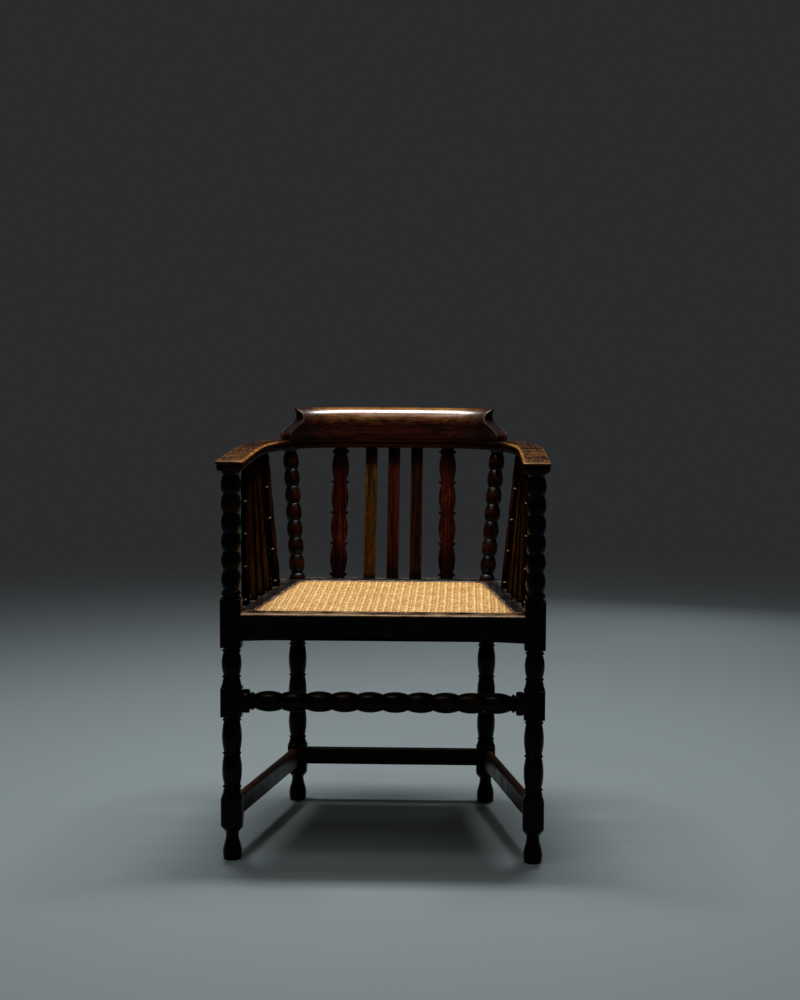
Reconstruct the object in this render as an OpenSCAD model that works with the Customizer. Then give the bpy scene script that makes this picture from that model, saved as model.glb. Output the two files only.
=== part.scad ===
// Captain's armchair in dark oak: turned legs, fretted splats, plain slats and a close-caned seat.
// Millimetres. +X is the viewer's right from the front, +Y is the back, +Z is up.
// The origin is on the floor, in the middle of the chair's plan.

/* [Overall] */
// Height of the seat frame's top above the floor
seat_height = 440; // [410:1:470]
// Height of the arms' top above the floor
arm_height = 708; // [680:1:750]
// Distance between the axes of the two front legs
front_leg_span = 530; // [500:1:580]
// Distance between the axes of the two rear legs
rear_leg_span = 370; // [340:1:400]
// Distance from the front legs' axes back to the rear legs' axes
leg_depth = 430; // [400:1:470]

/* [Arm bow] */
// Width of the bow, seen from above
bow_width = 48; // [42:1:52]
// Thickness of the bow
bow_thickness = 19; // [16:0.5:26]
// How far each arm runs forward of its front leg's axis
arm_overhang = 27; // [22:1:40]
// Length of an arm's straight part, behind its front leg's axis
arm_straight = 180; // [140:1:220]
// Depth of the bow's curved part
bow_curve_depth = 363; // [340:1:390]
// Power of the bow's curve, where 2 is an ellipse and more is squarer
bow_power = 3.4; // [2.6:0.1:4]
// Half the length of the piece between the arms, under the crest rail
back_rail_half = 140; // [132:1:150]

/* [Crest rail] */
// Height of the crest rail above the bow
crest_height = 60; // [50:1:80]
// Half the crest rail's length at its foot
crest_half = 221; // [212:1:226]
// How much the ogee takes off each end towards the top
crest_ogee = 33; // [15:1:36]
// How much the ends flare out again at the very top
crest_flare = 4; // [0:1:6]
// Thickness of the crest rail at its foot
crest_thickness = 34; // [32:1:40]
// How far the crest rail's foot lies behind the bow's front edge
crest_setback = 1.5; // [1:0.5:3]
// How far the hollow of the crest rail's front goes in
crest_hollow = 3.5; // [0:0.5:6]
// Radius of the roll along the crest rail's top front edge
crest_roll_r = 11; // [8:0.5:14]

/* [Front legs] */
// Side of the legs' square blocks
block_size = 37; // [34:0.5:42]
// Height of the foot's end, where the lowest blocks' lower shoulder starts
foot_height = 44; // [38:1:50]
// Height of the lowest block's lower end, on a front leg
low_block_base = 57; // [54:1:64]
// Height of that block
low_block_height = 56; // [50:1:62]
// Height of the middle block's lower end
mid_block_base = 257; // [245:1:270]
// Height of the middle block
mid_block_height = 52; // [46:1:58]
// How far the seat block reaches below the seat frame's top
seat_block_below = 60; // [56:1:66]
// How far the seat block stands above the seat frame's top
seat_block_above = 25; // [20:1:32]

/* [Rear legs] */
// Height of the rear block's lower end
rear_block_base = 55; // [52:1:62]
// Height of the rear block
rear_block_height = 57; // [50:1:64]
// Height of the square top of a rear leg, under the seat frame
rear_cap_height = 12; // [8:1:16]

/* [Turning] */
// Length of the rounded shoulder above a front leg's block
block_shoulder = 15; // [12:0.5:18]
// Diameter of the ovals on the legs
oval_d = 35; // [32:0.5:40]
// Diameter of the rings between the ovals
ring_d = 33; // [30:0.5:37]
// Height of a ring
ring_height = 4.5; // [4:0.5:7]
// Diameter of the legs at their necks
leg_neck_d = 28; // [25:0.5:30]
// Diameter of the foot at its widest
foot_d = 33.5; // [32:0.5:40]
// Diameter of the foot's sole
foot_sole_d = 31; // [26:0.5:32]
// Diameter of the foot at its neck
foot_neck_d = 22.5; // [21:0.5:27]
// Diameter of the bobbins on the arm posts
post_bobbin_d = 35; // [31:0.5:38]
// Diameter of the arm posts between the bobbins
post_neck_d = 27; // [23:0.5:29]
// Diameter of the bobbins on the rear posts
rear_bobbin_d = 31; // [28:0.5:34]
// Diameter of the rear posts between the bobbins
rear_neck_d = 22.5; // [19:0.5:25]
// Height of the ring at the foot of an arm post, on the seat block
arm_post_ring_height = 12.5; // [9:0.5:14]
// Height of the ring at the foot of a rear post
post_ring_height = 9; // [7:0.5:12]
// Height of the half bead at the head of a post
post_head_height = 8; // [6:0.5:10]

/* [Seat frame] */
// Width of the rails' top, from their outer edge to the cane
rail_width = 42; // [40:1:48]
// Height of the rails
rail_height = 48; // [44:1:54]
// Thickness of the rails' skirt, below the seat board
skirt_thickness = 30; // [27:1:36]
// Thickness of the rails' upper part, which reaches in under the cane
board_thickness = 20; // [18:1:24]
// How far the side rails' outer faces lie inside the front blocks' outer faces
side_rail_setback = 8; // [6:1:12]
// How far the side rails' outer faces lie outside the rear legs' axes
rear_rail_reach = 30; // [27:1:36]
// Radius of the seat frame's rear corners
frame_corner_r = 14; // [8:1:18]
// Radius of the cane's rear corners
cane_corner_r = 28; // [24:1:34]
// Size of the softened arris along the frame's top outer edge
frame_arris = 2; // [1:0.5:3]
// Rise of the arch under the front rail
front_arch = 5.5; // [2:0.5:10]

/* [Cane] */
// Thickness of the woven cane
cane_thickness = 4; // [3:0.5:6]
// Width of the ledge that carries the cane
cane_ledge = 10; // [8:1:14]
// How far the cane lies below the seat frame's top
cane_drop = 1; // [0.5:0.5:3]

/* [Stretchers] */
// Height of the plain stretchers' top above the floor
low_stretcher_top = 104; // [98:1:108]
// Height of the plain stretchers
low_stretcher_height = 31; // [26:1:36]
// Thickness of the plain stretchers
low_stretcher_thickness = 18; // [15:1:22]
// Diameter of the front stretcher's bobbins
stretcher_bobbin_d = 36.5; // [32:0.5:40]
// Diameter of the front stretcher between its bobbins
stretcher_neck_d = 27.5; // [24:0.5:30]
// Diameter of the collars at its ends
stretcher_collar_d = 42; // [38:0.5:46]
// Width of a collar
stretcher_collar_width = 14; // [10:1:18]
// Diameter of the bead beside each collar
stretcher_bead_d = 32; // [29:0.5:36]
// Width of that bead, with the hollow on its inner side
stretcher_bead_width = 11; // [8:1:14]

/* [Slats and splats] */
// Width of a plain slat
slat_width = 23; // [20:0.5:27]
// Thickness of the slats and splats
slat_thickness = 9.5; // [8:0.5:11]
// Distance from the seat frame's outer edge in to the middle of the slats' feet
slat_foot_inset = 13; // [10:0.5:16]
// Distance from the bow's middle line in to the middle of the slats' heads
slat_head_inset = 13; // [8:0.5:14]
// Spacing of the back's plain slats
back_slat_pitch = 45; // [38:1:50]
// Spacing from the outer plain slat to the splat, in the back
back_splat_gap = 61; // [52:1:66]
// Spacing of the sides' plain slats, at their feet
side_slat_pitch = 54; // [46:1:58]
// Spacing from the end plain slat to the splat, in the sides
side_splat_gap = 62; // [54:1:66]
// Distance from the front legs' axes back to the foot of the sides' middle slat
side_slat_centre = 208; // [200:1:214]
// How much farther apart the sides' slats are at their heads than at their feet
side_slat_fan = 1.11; // [1.05:0.01:1.15]
// How far back all the sides' slats lean, besides that
side_slat_rake = 12; // [4:1:18]
// Width of a splat at its bulges
splat_bulge_width = 33; // [29:0.5:37]
// Width of a splat at its notches
splat_notch_width = 23; // [19:0.5:25]
// Width of a splat across its points
splat_point_width = 34.5; // [31:0.5:39]
// Half the height of a splat's point at its root
splat_point_half = 4.5; // [3:0.5:6]
// Length of a splat's neck above its top point and below its lowest
splat_neck_length = 8; // [6:0.5:12]

/* [Joints] */
// Clearance on each side of a tenon, dowel or screw in its hole
joint_clearance = 0.15; // [0.1:0.05:0.3]
// Room left past the end of a tenon, dowel or screw
end_room = 1; // [0.5:0.5:2]
// Length of the rails' and stretchers' tenons
tenon_length = 13; // [10:0.5:14]
// Thickness of the rails' and plain stretchers' tenons
tenon_thickness = 10; // [8:0.5:12]
// Length of the slats' and splats' tenons
slat_tenon_length = 10; // [7:0.5:12]
// Thickness of the slats' and splats' tenons
slat_tenon_thickness = 6; // [5:0.5:7]
// How much narrower a slat's tenon is than the slat
slat_tenon_shoulder = 7; // [5:1:9]
// Diameter of the round tenons of the posts and of the front stretcher
round_tenon_d = 16; // [13:0.5:18]
// Length of the round tenons of the posts
round_tenon_length = 12; // [9:0.5:13]
// Diameter of the rear legs' round tenons
leg_tenon_d = 20; // [18:0.5:22]
// Length of the rear legs' round tenons
leg_tenon_length = 20; // [16:1:24]
// Side of the corner blocks under the seat
corner_block_side = 46; // [36:1:56]
// Height of the corner blocks
corner_block_height = 22; // [18:1:24]
// Diameter of the dowels between the arms and the back rail
dowel_d = 8; // [6:0.5:9]
// Length of those dowels
dowel_length = 40; // [30:1:50]
// Spacing of the two dowels in each joint
dowel_spacing = 18; // [14:1:22]
// Diameter of the crest rail's screws
screw_d = 4.2; // [3.5:0.1:5]
// Diameter of their countersunk heads
screw_head_d = 8.4; // [7:0.2:10]
// Length of the screws
screw_length = 42; // [34:1:50]

/* [Hidden] */
SLAT_PLACES = [-1, 0, 1];

// Colours, as the old polish shows them
oak_black = "#2a1a12";
oak_brown = "#4a2c1a";
oak_golden = "#6b4526";
cane_straw = "#d2a864";
beech_pale = "#b08a5c";
steel_dark = "#5c5a57";

// A little more than nothing, for cuts that run past a face
past = 1;

// Plan positions, with the front legs' axes at y = leg_y
overall_depth = arm_overhang + arm_straight + bow_curve_depth + bow_width / 2;
leg_y = arm_overhang - overall_depth / 2;
front_leg_x = front_leg_span / 2;
rear_leg_x = rear_leg_span / 2;
rear_leg_y = leg_y + leg_depth;
block_half = block_size / 2;
corner_r = block_half * sqrt(2);

// Heights
bow_under = arm_height - bow_thickness;
rail_base = seat_height - rail_height;
board_base = seat_height - board_thickness;
seat_block_base = seat_height - seat_block_below;
seat_block_top = seat_height + seat_block_above;
stretcher_z = mid_block_base + mid_block_height / 2;
low_stretcher_z = low_stretcher_top - low_stretcher_height / 2;
tenon_height = 0.62 * rail_height;
tenon_z = seat_height - rail_height / 2;

// Profiles of the turnings, as [radius, height] points

// A convex bead from height z0 to z1, from the neck's radius out to the bead's and back
function bead(z0, z1, neck_r, bead_r, steps = 8, fullness = 0.75) =
    [for (i = [0:steps - 1]) [neck_r + (bead_r - neck_r) * pow(sin(180 * i / steps), fullness),
                              z0 + (z1 - z0) * i / steps]];

// Rings with ovals between them, filling the height from z0 to z1
function ovals(z0, z1, count) =
    let (pitch = (z1 - z0 - ring_height) / count)
    concat(
        [for (k = [0:count - 1]) each concat(
            bead(z0 + k * pitch, z0 + k * pitch + ring_height, leg_neck_d / 2, ring_d / 2, 4, 0.6),
            bead(z0 + k * pitch + ring_height, z0 + (k + 1) * pitch, leg_neck_d / 2, oval_d / 2, 10, 0.85))],
        bead(z1 - ring_height, z1, leg_neck_d / 2, ring_d / 2, 4, 0.6));

// A row of equal bobbins, filling the height from z0 to z1
function bobbins(z0, z1, count, neck_r, bobbin_r) =
    let (pitch = (z1 - z0) / count)
    [for (k = [0:count - 1]) each bead(z0 + k * pitch, z0 + (k + 1) * pitch, neck_r, bobbin_r)];

// A block left square: over its length the profile swells past its corners. Its lower end is cut in
// as a flat step over a short taper, or on the foot's neck as a chamfer, and a rounded shoulder of the given
// length runs from its upper end in to the neck.
function block_step(z, neck_r) = [
    [neck_r, z - block_taper],
    [block_half - 1.8, z - 0.6],
    [corner_r + past, z]
];
function block_chamfer(z, neck_r) = [
    [neck_r, z - (block_half - neck_r) - past],
    [block_half, z],
    [corner_r + past, z + (corner_r - block_half)]
];
function block_head(z, shoulder, neck_r) =
    let (curve = [[0.09, 0.07], [0.24, 0.16], [0.4, 0.33], [0.52, 0.48], [0.62, 0.68], [0.72, 0.84], [1, 1]])
    concat(
        [[corner_r + past, z - 3.5], [block_half, z]],
        [for (c = curve) [block_half - (block_half - neck_r) * c[0], z + shoulder * c[1]]]);

// The vase-shaped foot: it swells from the sole to its widest part, and draws in to the neck in an ogee
foot_wide = 0.32;
function foot() = [
    [0, 0],
    for (t = [0, 0.16, foot_wide, 0.45, 0.55, 0.65, 0.75, 0.88, 1])
        [t < foot_wide ? foot_sole_d / 2 + (foot_d - foot_sole_d) / 2 * sin(90 * t / foot_wide)
                       : foot_neck_d / 2 + (foot_d - foot_neck_d) / 4 * (1 + cos(180 * (t - foot_wide) / (1 - foot_wide))),
         foot_height * t]
];

// The taper under a block, and the rounded shoulder above a rear leg's block
block_taper = 5.25;
rear_shoulder = 0.75 * block_shoulder;

front_leg_profile = concat(
    foot(),
    block_chamfer(low_block_base, foot_neck_d / 2),
    block_head(low_block_base + low_block_height, block_shoulder, leg_neck_d / 2),
    ovals(low_block_base + low_block_height + block_shoulder + 0.25, mid_block_base - block_taper, 2),
    block_step(mid_block_base, leg_neck_d / 2),
    block_head(mid_block_base + mid_block_height, block_shoulder, leg_neck_d / 2),
    ovals(mid_block_base + mid_block_height + block_shoulder + 0.25, seat_block_base - block_taper, 1),
    block_step(seat_block_base, leg_neck_d / 2),
    [[corner_r + past, seat_block_top], [post_neck_d / 2, seat_block_top + 1]],
    bead(seat_block_top + 1.5, seat_block_top + 1.5 + arm_post_ring_height,
         post_neck_d / 2, post_bobbin_d / 2, 6, 0.5),
    bobbins(seat_block_top + arm_post_ring_height + 2.5, bow_under - post_head_height, 6,
            post_neck_d / 2, post_bobbin_d / 2),
    [for (i = [0:4]) [post_neck_d / 2 + 3 * sin(22.5 * i), bow_under - post_head_height * (1 - i / 4)]],
    [[0, bow_under]]
);

rear_leg_top = rail_base - rear_cap_height;
rear_leg_profile = concat(
    foot(),
    block_chamfer(rear_block_base, foot_neck_d / 2),
    block_head(rear_block_base + rear_block_height, rear_shoulder, leg_neck_d / 2),
    ovals(rear_block_base + rear_block_height + rear_shoulder + 0.25, rear_leg_top - block_taper, 4),
    block_step(rear_leg_top, leg_neck_d / 2),
    [[corner_r + past, rail_base], [0, rail_base]]
);

// Pieces turned from square stock: the turning cut down to the stock's four faces
module turned_square(profile) {
    intersection() {
        rotate_extrude($fn = 72) polygon(profile);
        translate([-block_half, -block_half, -past])
            cube([block_size, block_size, arm_height + 2 * past]);
    }
}

// The plan of the seat frame, at a distance in from its outer edge
side_x_front = front_leg_x + block_half - side_rail_setback;
side_x_rear = rear_leg_x + rear_rail_reach;
side_slope = (side_x_front - side_x_rear) / leg_depth;
side_stretch = sqrt(1 + side_slope * side_slope);
side_angle = atan(side_slope);
function side_x(y, inset) = side_x_front - side_slope * (y - leg_y) - inset * side_stretch;
frame_front_y = leg_y - block_half;
frame_rear_y = rear_leg_y + block_half;

function frame_half(inset, r) =
    let (yc = frame_rear_y - inset - r, xc = side_x(yc, inset) - r * side_stretch)
    concat(
        [[side_x(frame_front_y + inset, inset), frame_front_y + inset]],
        [for (i = [0:6]) let (a = side_angle + (90 - side_angle) * i / 6) [xc + r * cos(a), yc + r * sin(a)]]);

function mirrored(points) = [for (i = [len(points) - 1:-1:0]) [-points[i][0], points[i][1]]];
function frame_outline(inset, r) = let (half = frame_half(inset, r)) concat(half, mirrored(half));

// The back rail takes in the cane's rounded corners, so the side rails end in front of them
back_rail_front_y = frame_rear_y - rail_width - cane_corner_r;
rear_block_front_y = rear_leg_y - block_half;
front_block_rear_y = leg_y + block_half;
front_block_inner_x = front_leg_x - block_half;

// The arm bow's middle line: straight arms that run into a superellipse
curve_y = leg_y + arm_straight;
function bow_scale(phi) = pow(pow(abs(cos(phi)), bow_power) + pow(sin(phi), bow_power), 1 / bow_power);
function bow_middle(phi) = [
    front_leg_x * cos(phi) / bow_scale(phi),
    curve_y + bow_curve_depth * sin(phi) / bow_scale(phi)
];
function bow_outward(phi) =
    let (gx = sign(cos(phi)) * pow(abs(cos(phi)) / bow_scale(phi), bow_power - 1) / front_leg_x,
         gy = pow(sin(phi) / bow_scale(phi), bow_power - 1) / bow_curve_depth)
    [gx, gy] / norm([gx, gy]);
function bow_point(phi, off) = bow_middle(phi) + off * bow_outward(phi);
function phi_at_x(x) =
    let (q = abs(x) / front_leg_x, v = pow(1 - pow(q, bow_power), 1 / bow_power))
    x < 0 ? 180 - atan2(v, q) : atan2(v, q);
function phi_at_y(y) = let (v = (y - curve_y) / bow_curve_depth) atan2(v, pow(1 - pow(v, bow_power), 1 / bow_power));
function bow_side(y, off) = y <= curve_y ? [front_leg_x + off, y] : bow_point(phi_at_y(y), off);

// The bow's edge moulding, as [height of the layer's foot, height of its top, inset of its edge]
bow_layers = [
    [0, 0.1 * bow_thickness, 3.5],
    [0.1 * bow_thickness, 0.5 * bow_thickness, 1.5],
    [0.5 * bow_thickness, 0.6 * bow_thickness, 3],
    [0.6 * bow_thickness, 0.93 * bow_thickness, 0],
    [0.93 * bow_thickness, bow_thickness, 1]
];
back_joint_phi = phi_at_x(back_rail_half);
bow_steps = 18;

module bow_layer(layer, points) {
    translate([0, 0, bow_under + layer[0]])
        linear_extrude(layer[1] - layer[0]) polygon(points);
}

function arm_points(inset) =
    let (edge = bow_width / 2 - inset, front = leg_y - arm_overhang + inset)
    concat(
        [[front_leg_x + edge, front]],
        [for (i = [0:bow_steps]) bow_point(back_joint_phi * i / bow_steps, edge)],
        [for (i = [bow_steps:-1:0]) bow_point(back_joint_phi * i / bow_steps, -edge)],
        [[front_leg_x - edge, front]]);

function back_points(inset) =
    let (edge = bow_width / 2 - inset, sweep = 180 - 2 * back_joint_phi)
    concat(
        [for (i = [0:bow_steps]) bow_point(back_joint_phi + sweep * i / bow_steps, edge)],
        [for (i = [bow_steps:-1:0]) bow_point(back_joint_phi + sweep * i / bow_steps, -edge)]);

// Slats and splats: each stands on a foot and leans to a head, both in the middle of its thickness
module lean(foot, head, across) {
    rise = head - foot;
    up = rise / norm(rise);
    wide = across - (across * up) * up;
    side = wide / norm(wide);
    deep = cross(up, side);
    multmatrix([
        [side[0], deep[0], up[0], foot[0]],
        [side[1], deep[1], up[1], foot[1]],
        [side[2], deep[2], up[2], foot[2]]
    ]) children();
}

module between_seat_and_bow() {
    translate([-front_leg_span, -overall_depth, seat_height])
        cube([2 * front_leg_span, 2 * overall_depth, bow_under - seat_height]);
}

slat_run = bow_under - seat_height;
function slat_side(place, foot_y) = let (head_y = leg_y + (foot_y - leg_y) * side_slat_fan + side_slat_rake) [
    place * [side_x(foot_y, slat_foot_inset), 0, 0] + [0, foot_y, seat_height],
    place * [bow_side(head_y, -slat_head_inset)[0], 0, 0] + [0, bow_side(head_y, -slat_head_inset)[1], bow_under],
    [-place * side_slope, 1, 0]
];
function slat_back(x) = [
    [x, frame_rear_y - slat_foot_inset, seat_height],
    [x, bow_point(phi_at_x(x), -slat_head_inset)[1], bow_under],
    [1, 0, 0]
];
side_splat_reach = side_slat_pitch + side_splat_gap;
side_slat_ys = [for (i = SLAT_PLACES) leg_y + side_slat_centre + i * side_slat_pitch];
side_splat_ys = [for (i = [-1, 1]) leg_y + side_slat_centre + i * side_splat_reach];
back_splat_x = back_slat_pitch + back_splat_gap;
back_slats = [for (i = SLAT_PLACES) slat_back(i * back_slat_pitch)];
back_splats = [for (i = [-1, 1]) slat_back(i * back_splat_x)];
function side_slats(place) = [for (y = side_slat_ys) slat_side(place, y)];
function side_splats(place) = [for (y = side_splat_ys) slat_side(place, y)];

// The tenons of a slat or splat, or with a clearance the mortises that take them
module slat_tenons(slat, width, clearance, extra) {
    length = norm(slat[1] - slat[0]);
    half_w = (width - slat_tenon_shoulder) / 2 + clearance;
    half_t = slat_tenon_thickness / 2 + clearance;
    lean(slat[0], slat[1], slat[2])
        translate([-half_w, -half_t, -slat_tenon_length - extra])
            cube([2 * half_w, 2 * half_t, length + 2 * (slat_tenon_length + extra)]);
}

module slat_mortises(slats, width) {
    for (slat = slats) slat_tenons(slat, width, joint_clearance, end_room);
}

module plain_slat(slat) {
    length = norm(slat[1] - slat[0]);
    union() {
        intersection() {
            lean(slat[0], slat[1], slat[2])
                translate([-slat_width / 2, -slat_thickness / 2, -slat_width])
                    cube([slat_width, slat_thickness, length + 2 * slat_width]);
            between_seat_and_bow();
        }
        slat_tenons(slat, slat_width, 0, 0);
    }
}

// One side of a splat: necks at the ends, points, and a bulge between each two points
splat_bulges = 4;
function splat_edge(length) =
    let (pitch = (length - 2 * splat_neck_length) / splat_bulges, notch = splat_notch_width / 2)
    concat(
        [[notch, -slat_width]],
        [for (k = [0:splat_bulges]) each concat(
            [[notch, splat_neck_length + k * pitch - splat_point_half],
             [splat_point_width / 2, splat_neck_length + k * pitch]],
            k == splat_bulges ? [[notch, splat_neck_length + k * pitch + splat_point_half]] :
            [for (i = [0:8]) [notch + (splat_bulge_width / 2 - notch) * pow(sin(22.5 * i), 0.8),
                splat_neck_length + k * pitch + splat_point_half + (pitch - 2 * splat_point_half - 0.5) * i / 8]])],
        [[notch, length + slat_width]]);

module splat(slat) {
    edge = splat_edge(norm(slat[1] - slat[0]));
    union() {
        intersection() {
            lean(slat[0], slat[1], slat[2])
                rotate([90, 0, 0])
                    translate([0, 0, -slat_thickness / 2])
                        linear_extrude(slat_thickness) polygon(concat(edge, mirrored(edge)));
            between_seat_and_bow();
        }
        slat_tenons(slat, splat_notch_width, 0, 0);
    }
}

// Rear posts lean outwards and back from the rear legs to the bow
rear_post_foot = [rear_leg_x, rear_leg_y, seat_height];
rear_post_out = 19;
rear_post_head_x = rear_leg_x + rear_post_out;
rear_post_head = [rear_post_head_x, bow_middle(phi_at_x(rear_post_head_x))[1], bow_under];
rear_post_length = norm(rear_post_head - rear_post_foot);
rear_post_profile = concat(
    [[0, -2 * post_ring_height], [rear_bobbin_d / 2 - 2, -2 * post_ring_height]],
    [for (i = [0:5]) [rear_neck_d / 2 + (rear_bobbin_d - rear_neck_d) / 2 * pow(cos(18 * i), 0.6),
                      post_ring_height * i / 5]],
    bobbins(post_ring_height + 2, rear_post_length - post_head_height, 7, rear_neck_d / 2, rear_bobbin_d / 2),
    [for (i = [0:4]) [rear_neck_d / 2 + 4 * sin(22.5 * i), rear_post_length - post_head_height * (1 - i / 4)]],
    [[rear_neck_d / 2 + 4, rear_post_length + 2 * post_head_height], [0, rear_post_length + 2 * post_head_height]]
);

module rear_post_tenons(clearance, extra) {
    reach = round_tenon_length + extra;
    lean(rear_post_foot, rear_post_head, [1, 0, 0])
        translate([0, 0, -reach])
            cylinder(d = round_tenon_d - 1 + 2 * clearance, h = rear_post_length + 2 * reach, $fn = 48);
}

module rear_post() {
    union() {
        intersection() {
            lean(rear_post_foot, rear_post_head, [1, 0, 0])
                rotate_extrude($fn = 72) polygon(rear_post_profile);
            between_seat_and_bow();
        }
        rear_post_tenons(0, 0);
    }
}

// Tenons, each drawn once for the piece that has it and again, larger, for its mortise

// The front rail's tenons lie towards the front of the blocks, clear of the side rails' tenons
front_tenon_y = leg_y - block_half + 4 + tenon_thickness / 2;
module front_rail_tenons(clearance, extra) {
    half = front_block_inner_x + tenon_length + extra;
    translate([-half, front_tenon_y - tenon_thickness / 2 - clearance, tenon_z - tenon_height / 2 - clearance])
        cube([2 * half, tenon_thickness + 2 * clearance, tenon_height + 2 * clearance]);
}

module side_rail_tenons(clearance, extra) {
    front_y = front_block_rear_y - tenon_length - extra;
    rear_y = back_rail_front_y + tenon_length + extra;
    x0 = side_x(front_y, skirt_thickness / 2);
    x1 = side_x(rear_y, skirt_thickness / 2);
    half = (tenon_thickness / 2 + clearance) * side_stretch;
    translate([0, 0, tenon_z - tenon_height / 2 - clearance])
        linear_extrude(tenon_height + 2 * clearance)
            polygon([[x0 - half, front_y], [x0 + half, front_y], [x1 + half, rear_y], [x1 - half, rear_y]]);
}

module leg_tenon(clearance, extra) {
    translate([rear_leg_x, rear_leg_y, rail_base - past])
        cylinder(d = leg_tenon_d + 2 * clearance, h = past + leg_tenon_length + extra, $fn = 48);
}

module arm_post_tenon(clearance, extra) {
    translate([front_leg_x, leg_y, bow_under - past])
        cylinder(d = round_tenon_d + 2 * clearance, h = past + round_tenon_length + extra, $fn = 48);
}

module front_stretcher_tenons(clearance, extra) {
    half = front_block_inner_x + tenon_length + extra;
    translate([-half, leg_y, stretcher_z]) rotate([0, 90, 0])
        cylinder(d = round_tenon_d + 2 * clearance, h = 2 * half, $fn = 48);
}

low_tenon_height = low_stretcher_height - 8;
stretcher_slope = (front_leg_x - rear_leg_x) / leg_depth;
function stretcher_x(y) = front_leg_x - stretcher_slope * (y - leg_y);
module side_stretcher_bar(y0, y1, thickness, height) {
    half = thickness / 2 * sqrt(1 + stretcher_slope * stretcher_slope);
    translate([0, 0, low_stretcher_z - height / 2])
        linear_extrude(height)
            polygon([
                [stretcher_x(y0) - half, y0], [stretcher_x(y0) + half, y0],
                [stretcher_x(y1) + half, y1], [stretcher_x(y1) - half, y1]
            ]);
}
module side_stretcher_tenons(clearance, extra) {
    side_stretcher_bar(front_block_rear_y - tenon_length - extra, rear_block_front_y + tenon_length - 1 + extra,
        tenon_thickness - 1 + 2 * clearance, low_tenon_height + 2 * clearance);
}
module rear_stretcher_tenons(clearance, extra) {
    half = rear_leg_x - block_half + tenon_length - 1 + extra;
    depth = tenon_thickness - 1 + 2 * clearance;
    translate([-half, rear_leg_y - depth / 2, low_stretcher_z - low_tenon_height / 2 - clearance])
        cube([2 * half, depth, low_tenon_height + 2 * clearance]);
}

// Legs

module front_leg() {
    color(oak_black)
    difference() {
        union() {
            translate([front_leg_x, leg_y, 0]) turned_square(front_leg_profile);
            arm_post_tenon(0, 0);
        }
        front_rail_tenons(joint_clearance, end_room);
        side_rail_tenons(joint_clearance, end_room);
        front_stretcher_tenons(joint_clearance, end_room);
        side_stretcher_tenons(joint_clearance, end_room);
    }
}

module rear_leg() {
    color(oak_black)
    difference() {
        union() {
            translate([rear_leg_x, rear_leg_y, 0]) turned_square(rear_leg_profile);
            leg_tenon(0, 0);
        }
        side_stretcher_tenons(joint_clearance, end_room);
        rear_stretcher_tenons(joint_clearance, end_room);
    }
}

// Seat frame

// The frame's section: a board that reaches in under the cane, over a thinner skirt
module frame_ring() {
    difference() {
        hull() {
            translate([0, 0, rail_base])
                linear_extrude(rail_height - frame_arris) polygon(frame_outline(0, frame_corner_r));
            translate([0, 0, rail_base])
                linear_extrude(rail_height) polygon(frame_outline(frame_arris, frame_corner_r));
        }
        translate([0, 0, rail_base - past])
            linear_extrude(board_base - rail_base + past)
                polygon(frame_outline(skirt_thickness, frame_corner_r / 2));
        translate([0, 0, board_base - past])
            linear_extrude(board_thickness + 2 * past)
                polygon(frame_outline(rail_width + cane_ledge, cane_corner_r - cane_ledge));
        translate([0, 0, seat_height - cane_drop - cane_thickness])
            linear_extrude(cane_drop + cane_thickness + past)
                polygon(frame_outline(rail_width, cane_corner_r));
    }
}

module plan_box(x0, x1, y0, y1) {
    translate([x0, y0, 0]) cube([x1 - x0, y1 - y0, arm_height]);
}

front_rail_rear_y = frame_front_y + rail_width + cane_ledge;
module front_rail_arch() {
    half = front_block_inner_x + past;
    translate([0, frame_front_y - past, 0]) rotate([90, 0, 180])
        linear_extrude(skirt_thickness + 2 * past)
            polygon(concat(
                [for (i = [-8:8]) [half * i / 8, rail_base + front_arch * (1 - i * i / 64)]],
                [[half, rail_base - past], [-half, rail_base - past]]));
}

module seat_rail_front() {
    color(oak_black)
    union() {
        difference() {
            intersection() {
                frame_ring();
                plan_box(-front_block_inner_x, front_block_inner_x, frame_front_y - past, front_rail_rear_y);
            }
            front_rail_arch();
        }
        front_rail_tenons(0, 0);
    }
}

module seat_rail_side() {
    color(oak_brown)
    difference() {
        union() {
            difference() {
                intersection() {
                    frame_ring();
                    plan_box(0, front_leg_span, front_block_rear_y, back_rail_front_y);
                }
                plan_box(-past, front_block_inner_x, frame_front_y - past, front_rail_rear_y);
            }
            side_rail_tenons(0, 0);
        }
        slat_mortises(side_slats(1), slat_width);
        slat_mortises(side_splats(1), splat_notch_width);
    }
}

module seat_rail_back() {
    color(oak_brown)
    difference() {
        intersection() {
            frame_ring();
            plan_box(-front_leg_span, front_leg_span, back_rail_front_y, frame_rear_y + past);
        }
        for (side = [0, 1]) mirror([side, 0, 0]) {
            side_rail_tenons(joint_clearance, end_room);
            leg_tenon(joint_clearance, end_room);
            rear_post_tenons(joint_clearance, end_room);
        }
        slat_mortises(back_slats, slat_width);
        slat_mortises(back_splats, splat_notch_width);
    }
}

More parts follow.
